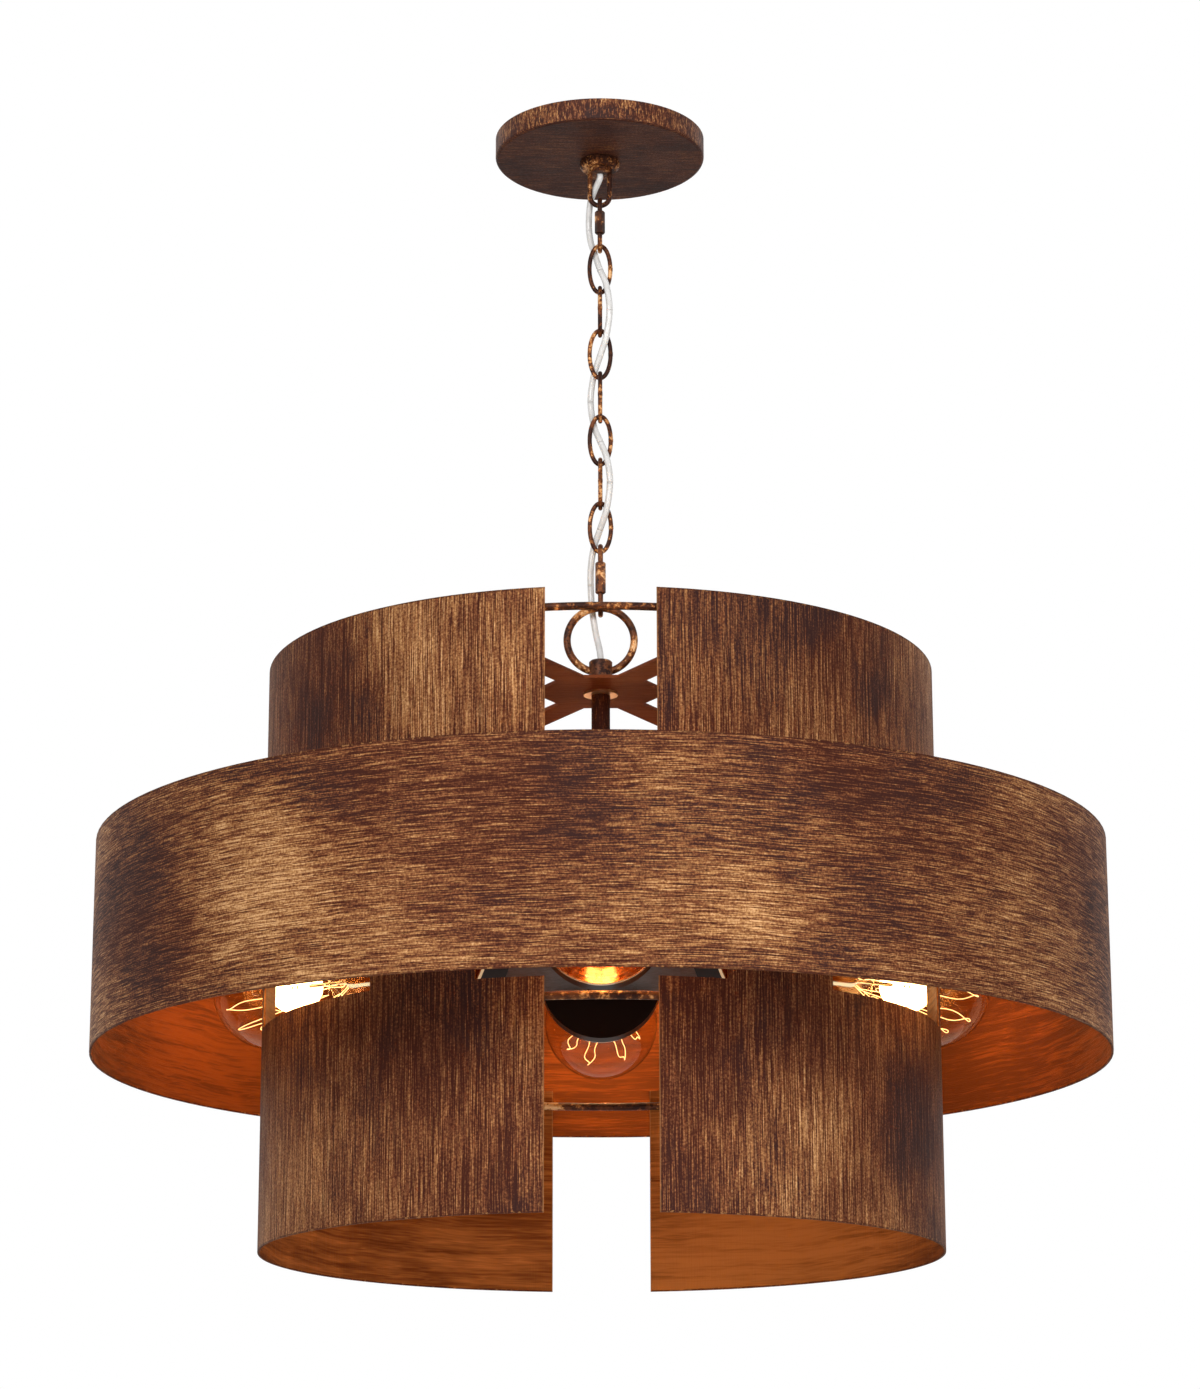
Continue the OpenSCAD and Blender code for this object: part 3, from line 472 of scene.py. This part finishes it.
def brushed_material(name, brush, finish, patch, tone, rub, contrast, wash=0.0):
    """The same bronze paint on a smaller piece, such as a spider."""
    made, t, shader = new_material(name, Metallic=0.12, Specular_IOR_Level=0.02)
    paint, value, height = bronze_paint(t, t.place(), brush, finish, patch, tone, rub, contrast)
    paint = t.mix(wash, paint, (0.150, 0.034, 0.010))
    t.feed(shader, Base_Color=paint, Roughness=t.math("MULTIPLY_ADD", value, -0.1, 0.56))
    bump(t, shader, height, 0.0003, 0.3)
    return made


def canopy_material(finish):
    """Level strokes under the canopy and upright ones round its rim."""
    made, t, shader = new_material("canopy_bronze", Metallic=0.12, Specular_IOR_Level=0.12)
    place = t.place()
    flat, _, flat_height = bronze_paint(t, place, ((26, 420, 420), (55, 1000, 1000), 0.002), finish,
                                        (9, 30, 30), 0.20, 0.10, 0.80)
    side, side_value, side_height = bronze_paint(t, place, ((500, 500, 60), (900, 900, 160), 0.001), finish,
                                                 (34, 34, 34), 0.25, 0.34, 1.0)
    under = t.feed(t.node("SeparateXYZ"), Vector=t.node("NewGeometry").outputs["True Normal"]).outputs["Z"]
    is_under = t.math("LESS_THAN", under, -0.5)
    flat = t.mix(0.45, flat, finish.plum)
    t.feed(shader, Base_Color=t.mix(is_under, side, flat),
           Roughness=t.math("MULTIPLY_ADD", side_value, -0.1, 0.52))
    bump(t, shader, t.math("ADD", flat_height, side_height), 0.0002, 0.3)
    return made


def dark_material(name, base, roughness):
    """Near-black satin paint with fine dust and faint brown clouds."""
    made, t, shader = new_material(name, Metallic=0.3)
    place = t.place()
    specks = t.group(shared_groups()["specks"], Vector=place, Scale=260.0).outputs
    dusty = [min(1, c * 3 + 0.02) for c in base]
    paint = t.mix(t.math("MULTIPLY", specks["Bright"], 0.35), base, dusty)
    t.feed(shader, Base_Color=paint,
           Roughness=t.ramp(specks["Height"], 0.3, 0.7, roughness - 0.06, roughness + 0.08))
    bump(t, shader, specks["Height"], 0.0001, 0.2)
    return made


def cup_material(copper):
    """Gloss copper with fine turned rings inside each cup; dark paint outside, made near-black as painted shade; a
    painted highlight round each rim.
    """
    made, t, shader = new_material("cup_copper", Specular_IOR_Level=0.2, Coat_Roughness=0.04)
    xyz = t.parts(t.place())
    sixth = math.radians(60)
    turn = t.math("FLOORED_MODULO", t.math("ARCTAN2", xyz["Y"], xyz["X"]), sixth)
    local = t.math("SUBTRACT", turn, sixth / 2)
    flat = t.distance(xyz["X"], xyz["Y"])
    outward = t.math("MULTIPLY", flat, t.math("COSINE", local))
    sideways = t.math("MULTIPLY", flat, t.math("SINE", local))
    up = t.math("SUBTRACT", xyz["Z"], LAMP_HEIGHT)
    from_axis = t.distance(sideways, up)
    inside = t.math("MULTIPLY", t.math("LESS_THAN", from_axis, CUP_INSIDE),
                    t.math("GREATER_THAN", outward, CUP_BACK + 0.0006))
    rings = t.math("SINE", t.math("MULTIPLY", from_axis, 2 * math.pi / CUP_RING_PITCH))
    dust = t.noise(t.place(), 90.0, 4.0)
    paint = t.mix(t.math("MULTIPLY", dust, 0.5), copper.cup, [c * 0.6 for c in copper.cup])
    paint = t.mix(t.ramp(rings, 0.80, 1.0, 0.0, 0.35), paint, (0.60, 0.22, 0.070))
    # Outside the cups: dark paint made near-black, as painted shade
    paint = t.mix(inside, copper.cup_back_dark_and_shaded, paint)
    # Painted highlight: a light, shiny line round each cup's rim
    rim = t.math("GREATER_THAN", outward, CUP_RIM - CUP_RIM_HIGHLIGHT)
    paint = t.mix(rim, paint, (0.85, 0.56, 0.32))
    shiny = t.math("MAXIMUM", inside, rim)
    t.feed(shader, Base_Color=paint, Metallic=t.math("MULTIPLY", shiny, 0.95), Coat_Weight=inside,
           Roughness=t.math("MULTIPLY_ADD", shiny, -0.29, 0.36))
    bump(t, shader, rings, 0.00002, 0.2)
    return made


def porcelain_material():
    """Cream glaze with faint clouds and a few brown specks."""
    made, t, shader = new_material("lampholder_porcelain", Coat_Weight=0.5, Coat_Roughness=0.08)
    place = t.place()
    tint = t.noise(place, 35.0, 3.0)
    specks = t.ramp(t.noise(place, 700.0, 2.0), 0.70, 0.78)
    paint = t.mix(tint, (0.80, 0.77, 0.70), (0.88, 0.86, 0.81))
    paint = t.mix(t.math("MULTIPLY", specks, 0.3), paint, (0.45, 0.40, 0.33))
    t.feed(shader, Base_Color=paint, Roughness=t.ramp(tint, 0.3, 0.7, 0.22, 0.32))
    bump(t, shader, tint, 0.0002, 0.15)
    return made


def plated_material(name, base, scratch, roughness):
    """Bare plated metal with fine turning lines and small stains."""
    made, t, shader = new_material(name, Metallic=0.9)
    place = t.place()
    lines = t.group(shared_groups()["strokes"], Vector=place, Stretch=(60, 900, 900), Hair_stretch=(90, 1600, 1600),
                    Wander=0.001).outputs
    stain = t.group(shared_groups()["clouds"], Vector=place, Stretch=(70, 70, 70), Low=0.5, High=0.75).outputs[0]
    paint = t.mix(t.ramp(lines["Strokes"], -0.15, 0.2, 0.0, 0.5), base, scratch)
    paint = t.mix(t.math("MULTIPLY", stain, 0.35), paint, [c * 0.55 for c in base])
    t.feed(shader, Base_Color=paint, Roughness=t.math("MULTIPLY_ADD", stain, 0.15, roughness))
    bump(t, shader, lines["Hairs"], 0.0001, 0.2)
    return made


def glass_material():
    """Clear blown glass with a faint amber cast and a slow ripple."""
    made, t, shader = new_material("lamp_glass", Transmission_Weight=1.0, IOR=1.18, Metallic=0.0,
                                   Specular_Tint=(1.0, 0.60, 0.28, 1.0))
    place = t.place()
    ripple = t.noise(place, 30.0, 2.0)
    t.feed(shader, Base_Color=t.mix(ripple, (0.965, 0.870, 0.700), (0.985, 0.915, 0.790)),
           Roughness=t.ramp(ripple, 0.3, 0.7, 0.0, 0.015))
    bump(t, shader, ripple, 0.0006, 0.12)
    return made


def glow_material(lamp):
    """The glowing wire of the filaments."""
    made, t, shader = new_material("filament_glow", Emission_Strength=lamp.glow, Roughness=0.5)
    heat = t.noise(t.place(), 120.0, 2.0)
    warm = lamp.warmth
    t.feed(shader, Base_Color=t.mix(heat, warm, (1.0, 0.8, 0.5)),
           Emission_Color=t.mix(heat, warm, (1.0, 0.74, 0.36)))
    return made


def cord_material(cord):
    """Clear jacket: gloss over faintly ribbed white wires."""
    made, t, shader = new_material("cord_jacket", Coat_Weight=0.3, Coat_Roughness=0.12)
    place = t.place()
    xyz = t.parts(place)
    twist = t.math("SINE", t.math("MULTIPLY_ADD", xyz["Z"], 520.0,
                                  t.math("MULTIPLY", t.math("ADD", xyz["X"], xyz["Y"]), 900.0)))
    lay = t.ramp(twist, -1.0, 1.0)
    paint = t.mix(t.math("MULTIPLY", lay, 0.6), cord.jacket, (0.53, 0.52, 0.50))
    t.feed(shader, Base_Color=paint, Roughness=t.ramp(t.noise(place, 200.0), 0.3, 0.7, 0.22, 0.34))
    bump(t, shader, twist, 0.0001, 0.1)
    return made


# Mesh helpers

def add_tube(mesh, points, radius, sides=12, closed=False):
    """Adds a round tube along points to a bmesh, with a frame that doesn't twist."""
    points = [Vector(p) for p in points]
    count = len(points)
    along = []
    for n in range(count):
        before = points[n - 1] if n or closed else points[0]
        after = points[(n + 1) % count] if n < count - 1 or closed else points[-1]
        along.append((after - before).normalized())
    side = along[0].orthogonal().normalized()
    rings = []
    for n in range(count):
        side = (side - along[n] * side.dot(along[n])).normalized()
        up = along[n].cross(side)
        rings.append([mesh.verts.new(points[n] + radius * (
            side * math.cos(2 * math.pi * k / sides) + up * math.sin(2 * math.pi * k / sides)))
            for k in range(sides)])
    for first, second in zip(rings, rings[1:]):
        for k in range(sides):
            mesh.faces.new((first[k], first[(k + 1) % sides], second[(k + 1) % sides], second[k]))
    if closed:
        first, second = rings[-1], rings[0]
        start = min(range(sides), key=lambda k: (second[k].co - first[0].co).length)
        for k in range(sides):
            mesh.faces.new((first[k], first[(k + 1) % sides], second[(start + k + 1) % sides],
                            second[(start + k) % sides]))
    else:
        mesh.faces.new(rings[0][::-1])
        mesh.faces.new(rings[-1])


def add_lathe(mesh, outline, sides, place):
    """Adds a piece turned round Z from (radius, height) pairs; a radius of 0 makes a tip."""
    rings = []
    for radius, height in outline:
        if radius == 0:
            rings.append([mesh.verts.new(place @ Vector((0, 0, height)))])
            continue
        rings.append([mesh.verts.new(place @ Vector((radius * math.cos(2 * math.pi * k / sides),
                                                     radius * math.sin(2 * math.pi * k / sides), height)))
                      for k in range(sides)])
    for first, second in zip(rings, rings[1:]):
        for k in range(sides):
            a, b = first[k % len(first)], first[(k + 1) % len(first)]
            c, d = second[(k + 1) % len(second)], second[k % len(second)]
            corners = [v for n, v in enumerate((a, b, c, d)) if v not in (a, b, c, d)[:n]]
            mesh.faces.new(corners)


def piece_from(mesh, name, material):
    """Turns a bmesh into a smooth object with one material."""
    bmesh.ops.recalc_face_normals(mesh, faces=mesh.faces)
    data = bpy.data.meshes.new(name)
    mesh.to_mesh(data)
    mesh.free()
    for face in data.polygons:
        face.use_smooth = True
    made = bpy.data.objects.new(name, data)
    bpy.context.scene.collection.objects.link(made)
    made.data.materials.append(material)
    return made


def finish_nodes(material, *nodes):
    """Gives CAD nodes a finish."""
    for name in nodes:
        CAD[name].data.materials.clear()
        CAD[name].data.materials.append(material)


def lamp_place(lamp):
    """Turns a piece that points along +Z onto a lamp's axis; lamp 1 is at the front."""
    turn = math.radians(-90 + (lamp - 1) * 60)
    return (Matrix.Rotation(turn, 4, "Z") @ Matrix.Translation((0, 0, LAMP_HEIGHT))
            @ Matrix.Rotation(math.radians(90), 4, "Y"))


def curve_point(route, step, share):
    """A point on the smooth curve through a route, in the same form as the source's."""
    a, b, c, d = (Vector(route[min(max(n, 0), len(route) - 1)]) for n in range(step - 1, step + 3))
    return 0.5 * (2 * b + (c - a) * share + (2 * a - 5 * b + 4 * c - d) * share ** 2
                  + (3 * b - a - 3 * c + d) * share ** 3)


# Operators

class PENDANT_OT_stage(bpy.types.Operator):
    """Camera, studio lights, world and floor"""
    bl_idname = "pendant.stage"
    bl_label = "Stage"

    def execute(self, context):
        settings = context.scene.pendant_stage
        camera_data = bpy.data.cameras.new("camera")
        camera_data.sensor_width = 36
        camera_data.lens = CAMERA_LENS
        camera_data.clip_end = 50
        camera = bpy.data.objects.new("camera", camera_data)
        camera.location = CAMERA_PLACE
        camera.rotation_euler = CAMERA_TURN
        context.scene.collection.objects.link(camera)
        context.scene.camera = camera
        self.light(context, "key", settings.key, 1.6, (-1.0, -2.6, 0.3))
        self.light(context, "fill", settings.fill, 1.6, (1.5, -2.2, -0.4))
        under = self.light(context, "under", settings.fill * 0.5, 1.4, (0.2, -1.6, -1.9))
        under.visible_glossy = False
        self.world(context, settings.sky)
        self.floor(context, settings.floor_drop)
        context.scene.view_settings.view_transform = "Standard"
        return {"FINISHED"}

    def light(self, context, name, power, size, place):
        data = bpy.data.lights.new(name, "AREA")
        data.energy = power
        data.size = size
        made = bpy.data.objects.new(name, data)
        made.location = place
        made.rotation_euler = (Vector(LIGHT_TARGET) - Vector(place)).to_track_quat("-Z", "Y").to_euler()
        context.scene.collection.objects.link(made)
        return made

    def world(self, context, strength):
        world = bpy.data.worlds.new("studio")
        world.use_nodes = True
        context.scene.world = world
        t = Tree(world.node_tree)
        sky = world.node_tree.nodes["Background"]
        t.feed(sky, Color=(1, 0.99, 0.98, 1), Strength=strength)
        seen = t.feed(t.node("Background"), Color=(1, 1, 1, 1), Strength=1.0)
        ray = t.node("LightPath").outputs
        direct = t.math("MAXIMUM", ray["Is Camera Ray"],
                        t.math("MAXIMUM", ray["Is Glossy Ray"], ray["Is Transmission Ray"]))
        both = t.node("MixShader")
        t.feed(both, _0=direct, _1=sky.outputs[0], _2=seen.outputs[0])
        t.feed(world.node_tree.nodes["World Output"], Surface=both.outputs[0])

    def floor(self, context, drop):
        mesh = bmesh.new()
        bmesh.ops.create_grid(mesh, x_segments=8, y_segments=8, size=30)
        material, t, shader = new_material("pale_floor", Roughness=0.7, Specular_IOR_Level=0.2)
        tint = t.noise(t.place(), 1.5, 3.0)
        t.feed(shader, Base_Color=t.mix(tint, (0.80, 0.80, 0.79), (0.84, 0.84, 0.83)))
        pale = t.feed(t.node("Emission"), Color=(1, 1, 1, 1), Strength=1.0)
        both = t.node("MixShader")
        seen = t.math("MULTIPLY", t.node("LightPath").outputs["Is Camera Ray"], FLOOR_BRIGHTENING)
        t.feed(both, _0=seen, _1=shader.outputs[0], _2=pale.outputs[0])
        t.feed(material.node_tree.nodes["Material Output"], Surface=both.outputs[0])
        floor = piece_from(mesh, "floor", material)
        floor.location.z = -drop


class PENDANT_OT_cord(bpy.types.Operator):
    """The cord that weaves through the chain, cut half way along each link"""
    bl_idname = "pendant.cord"
    bl_label = "Cord"

    def execute(self, context):
        settings = context.scene.pendant_cord
        material = cord_material(settings)
        fine = [curve_point(CORD_ROUTE, step, k / CORD_STEPS)
                for step in range(len(CORD_ROUTE) - 1) for k in range(CORD_STEPS)]
        fine.append(Vector(CORD_ROUTE[-1]))
        for n, (top, foot) in enumerate(zip(CORD_CUTS, CORD_CUTS[1:])):
            between = [p for p in fine if foot + CORD_NEAREST < p.z < top - CORD_NEAREST]
            points = [p * MM for p in (self.at(fine, top), *between, self.at(fine, foot))]
            mesh = bmesh.new()
            add_tube(mesh, points, settings.diameter / 2, settings.sides)
            piece = piece_from(mesh, f"cord_{n + 1}", material)
            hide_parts("cord")
            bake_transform(piece)
        return {"FINISHED"}

    def at(self, fine, height):
        """The point of the route at a height."""
        for a, b in zip(fine, fine[1:]):
            if b.z <= height <= a.z:
                return a.lerp(b, (a.z - height) / max(a.z - b.z, 1e-9))
        return fine[-1]


class PENDANT_OT_chain(bpy.types.Operator):
    """Oval chain links with a butt joint, and the quick links at each end"""
    bl_idname = "pendant.chain"
    bl_label = "Chain"

    def execute(self, context):
        finish = context.scene.pendant_bronze
        material = fitting_material("chain_bronze", finish)
        tall, wide = (LINK_LENGTH - LINK_WIRE) / 2, (LINK_WIDTH - LINK_WIRE) / 2
        steps = 56
        for n in range(1, LINK_COUNT + 1):
            middle = FIRST_LINK - (n - 1) * LINK_PITCH
            points = []
            for k in range(steps):
                turn = 2 * math.pi * k / steps
                x, z = wide * math.sin(turn), middle + tall * math.cos(turn)
                points.append((x, 0, z) if n % 2 else (0, x, z))
            mesh = bmesh.new()
            add_tube(mesh, points, LINK_WIRE / 2, 16, closed=True)
            joint = Vector((wide, 0, middle)) if n % 2 else Vector((0, -wide, middle))
            add_tube(mesh, [joint + Vector((0, 0, h * MM)) for h in (-1.1, -0.5, 0, 0.5, 1.1)],
                     LINK_WIRE / 2 + WELD_HEIGHT, 16)
            piece = piece_from(mesh, f"oval_link_{n}", material)
            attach(piece, f"link_{n}")
            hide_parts(f"chain_link_{n}")
        finish_nodes(material, "upper_quick_link", "upper_link_nut", "lower_quick_link", "lower_link_nut")
        return {"FINISHED"}


class PENDANT_OT_canopy(bpy.types.Operator):
    """Canopy, collar, loop and the hidden ceiling bar"""
    bl_idname = "pendant.canopy"
    bl_label = "Canopy"

    def execute(self, context):
        finish = context.scene.pendant_bronze
        finish_nodes(canopy_material(finish), "canopy")
        finish_nodes(fitting_material("collar_bronze", finish, 900.0), "collar_nut", "collar_loop")
        finish_nodes(plated_material("zinc_plate", (0.55, 0.56, 0.58), (0.72, 0.72, 0.72), 0.34),
                     "mounting_bar", "bar_locknut")
        finish_nodes(plated_material("nipple_brass", (0.70, 0.47, 0.20), (0.80, 0.60, 0.32), 0.30), "nipple")
        finish_nodes(plated_material("earth_green", (0.05, 0.30, 0.10), (0.12, 0.42, 0.18), 0.38), "ground_screw")
        return {"FINISHED"}


class PENDANT_OT_shades(bpy.types.Operator):
    """The two half-round inner panels and the wide drum"""
    bl_idname = "pendant.shades"
    bl_label = "Shades"

    def execute(self, context):
        finish, copper = context.scene.pendant_bronze, context.scene.pendant_copper
        level = ((20, 20, 300), (46, 46, 1650), 0.004)
        upright = ((330, 330, 10), (1600, 1600, 21), 0.003)
        drum = sheet_material("drum_bronze", DRUM_OUTER, level, "outer_drum", finish,
                              (copper.drum_lining_painted_shade, copper.grain), patch=(5, 5, 11), tone=0.37, rubs=DRUM_RUBS,
                              grained=1.8, worn=0.20, shades=DRUM_PAINTED_SHADE)
        finish_nodes(drum, "outer_drum")
        panels = sheet_material("panel_bronze", PANEL_OUTER, upright, "left_panel", finish,
                                (copper.lining, copper.grain), patch=(9, 9, 6), tone=0.40, rubs=PANEL_RUBS,
                                grained=0.8, worn=0.40, shades=PANEL_PAINTED_LIGHT_AND_SHADE)
        finish_nodes(panels, "left_panel", "right_panel")
        return {"FINISHED"}


class PENDANT_OT_frame(bpy.types.Operator):
    """Ring, hub, spiders, stem, hoops and canister"""
    bl_idname = "pendant.frame"
    bl_label = "Frame"

    def execute(self, context):
        finish = context.scene.pendant_bronze
        finish_nodes(fitting_material("ring_bronze", finish, 360.0, 0.50), "hanging_ring", "hub_collar")
        spiders = brushed_material("spider_bronze", ((20, 160, 160), (50, 700, 700), 0.003), finish, (8, 16, 16),
                                   tone=0.26, rub=0.12, contrast=0.30, wash=0.55)
        finish_nodes(spiders, "upper_spider", "lower_spider")
        finish_nodes(fitting_material("hoop_bronze", finish, 300.0, 0.34), "upper_hoop", "lower_hoop")
        finish_nodes(plated_material("washer_copper", (0.62, 0.40, 0.26), (0.75, 0.56, 0.42), 0.32), "stem_washer")
        stem = brushed_material("stem_bronze", ((500, 500, 30), (1200, 1200, 90), 0.001), finish, (40, 40, 12),
                                tone=-0.02, rub=0.10, contrast=0.8)
        finish_nodes(stem, "stem", "stem_locknuts")
        finish_nodes(dark_material("canister_black", (0.060, 0.040, 0.032), 0.40), "canister", "canister_cover")
        finish_nodes(dark_material("cap_black", (0.020, 0.016, 0.014), 0.30), "cap_nut")
        return {"FINISHED"}


class PENDANT_OT_lamps(bpy.types.Operator):
    """Cups, lampholders, clear lamps and their glowing filaments"""
    bl_idname = "pendant.lamps"
    bl_label = "Lamps"

    def execute(self, context):
        settings = context.scene.pendant_lamp
        finish_nodes(cup_material(context.scene.pendant_copper), "lamp_cups")
        finish_nodes(porcelain_material(), "lampholders")
        brass = plated_material("lamp_brass", (0.72, 0.50, 0.22), (0.84, 0.66, 0.38), 0.26)
        finish_nodes(brass, "lampholder_contacts")
        glass, glow = glass_material(), glow_material(settings)
        for lamp in range(1, LAMP_COUNT + 1):
            place = lamp_place(lamp)
            finish_nodes(brass, f"bulb_{lamp}_base")
            finish_nodes(glass, f"bulb_{lamp}_glass")
            CAD[f"bulb_{lamp}_glass"].visible_shadow = False
            wire = self.filament(settings, place, glow, lamp)
            mount = self.mount(settings, place, glass, lamp)
            mount.visible_shadow = False
            for piece in (wire, mount):
                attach(piece, f"bulb_{lamp}")
                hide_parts(f"bulb_{lamp}_filament")
            self.light(context, settings, place, lamp)
        return {"FINISHED"}

    def wire_point(self, settings, share):
        """A point on the filament: it runs up and down between a small and a wide ring, with a slight crimp."""
        runs = settings.loops * 2
        wide = 0.5 - 0.5 * math.cos(math.pi * runs * share)
        crimp = math.sin(2 * math.pi * runs * share * CRIMPS_PER_RUN)
        turn = 2 * math.pi * FILAMENT_TURN * share + CRIMP_TURN * crimp
        reach = FILAMENT_NEAR + FILAMENT_SPREAD * wide + CRIMP_DEPTH * crimp
        height = GLOBE_MIDDLE + FILAMENT_LOW + FILAMENT_RISE * wide
        return Vector((reach * math.cos(turn), reach * math.sin(turn), height))

    def hooks(self, settings):
        """Where the filament turns, each on a hook of the mount."""
        runs = settings.loops * 2
        return [self.wire_point(settings, n / runs) for n in range(runs + 1)]

    def filament(self, settings, place, material, lamp):
        """One crimped wire, with both ends led down to the stem."""
        mesh = bmesh.new()
        steps = settings.loops * 40
        foot = GLOBE_MIDDLE + FILAMENT_ENDS
        start, end = Vector((0.003, 0, foot)), Vector((0.003, -0.002, foot))
        route = [start] + [self.wire_point(settings, n / steps) for n in range(steps + 1)] + [end]
        add_tube(mesh, [place @ p for p in route], settings.wire / 2, 6)
        return piece_from(mesh, f"filament_wire_{lamp}", material)

    def mount(self, settings, place, material, lamp):
        """Glass stem with a flared foot, and a button with fine hooks."""
        mesh = bmesh.new()
        foot = GLASS_FOOT + 0.0045
        top = GLOBE_MIDDLE - 0.060
        outline = [(0, foot), (0.0095, foot), (0.0085, foot + 0.004), (0.0050, foot + 0.014), (0.0040, top - 0.01),
                   (0.0045, top), (0.0022, top + 0.003), (0.0012, top + 0.006), (0.0011, GLOBE_MIDDLE + 0.008),
                   (0.0024, GLOBE_MIDDLE + 0.011), (0.0020, GLOBE_MIDDLE + 0.014), (0, GLOBE_MIDDLE + 0.015)]
        add_lathe(mesh, outline, 24, place)
        for n, hook in enumerate(self.hooks(settings)):
            root = Vector((0, 0, GLOBE_MIDDLE + 0.010 if n % 2 else hook.z + 0.004))
            add_tube(mesh, [place @ root, place @ root.lerp(hook, 0.5), place @ hook], HOOK_RADIUS, 6)
        return piece_from(mesh, f"filament_mount_{lamp}", material)

    def light(self, context, settings, place, lamp):
        data = bpy.data.lights.new(f"lamp_light_{lamp}", "POINT")
        data.energy = settings.light
        data.color = LAMP_LIGHT_COLOUR
        data.shadow_soft_size = 0.009 if lamp in (1, 4) else 0.02
        made = bpy.data.objects.new(f"lamp_light_{lamp}", data)
        made.location = place @ Vector((0, 0, GLOBE_MIDDLE + LAMP_LIGHT_HEIGHT))
        context.scene.collection.objects.link(made)


STEPS = (PENDANT_OT_stage, PENDANT_OT_cord, PENDANT_OT_chain, PENDANT_OT_canopy, PENDANT_OT_shades, PENDANT_OT_frame,
         PENDANT_OT_lamps)
SETTINGS = (("pendant_bronze", BronzeSettings), ("pendant_copper", CopperSettings), ("pendant_cord", CordSettings),
            ("pendant_lamp", LampSettings), ("pendant_stage", StageSettings))


class PENDANT_PT_panel(bpy.types.Panel):
    """Lists the settings and the steps that build the light"""
    bl_idname = "PENDANT_PT_panel"
    bl_label = "Pendant Light"
    bl_space_type = "VIEW_3D"
    bl_region_type = "UI"
    bl_category = "Pendant Light"

    def draw(self, context):
        for name, settings in SETTINGS:
            box = self.layout.box()
            box.label(text=name.replace("pendant_", "").title())
            for prop in settings.__annotations__:
                box.prop(getattr(context.scene, name), prop)
        for step in STEPS:
            self.layout.operator(step.bl_idname)


def register():
    for kind in (*(settings for _, settings in SETTINGS), *STEPS, PENDANT_PT_panel):
        bpy.utils.register_class(kind)
    for name, settings in SETTINGS:
        setattr(bpy.types.Scene, name, PointerProperty(type=settings))


def unregister():
    for name, _ in SETTINGS:
        delattr(bpy.types.Scene, name)
    for kind in (PENDANT_PT_panel, *reversed(STEPS), *(settings for _, settings in SETTINGS)):
        bpy.utils.unregister_class(kind)


def main():
    register()
    bpy.ops.pendant.stage()
    bpy.ops.pendant.cord()
    bpy.ops.pendant.chain()
    bpy.ops.pendant.canopy()
    bpy.ops.pendant.shades()
    bpy.ops.pendant.frame()
    bpy.ops.pendant.lamps()


if __name__ == "__main__":
    main()
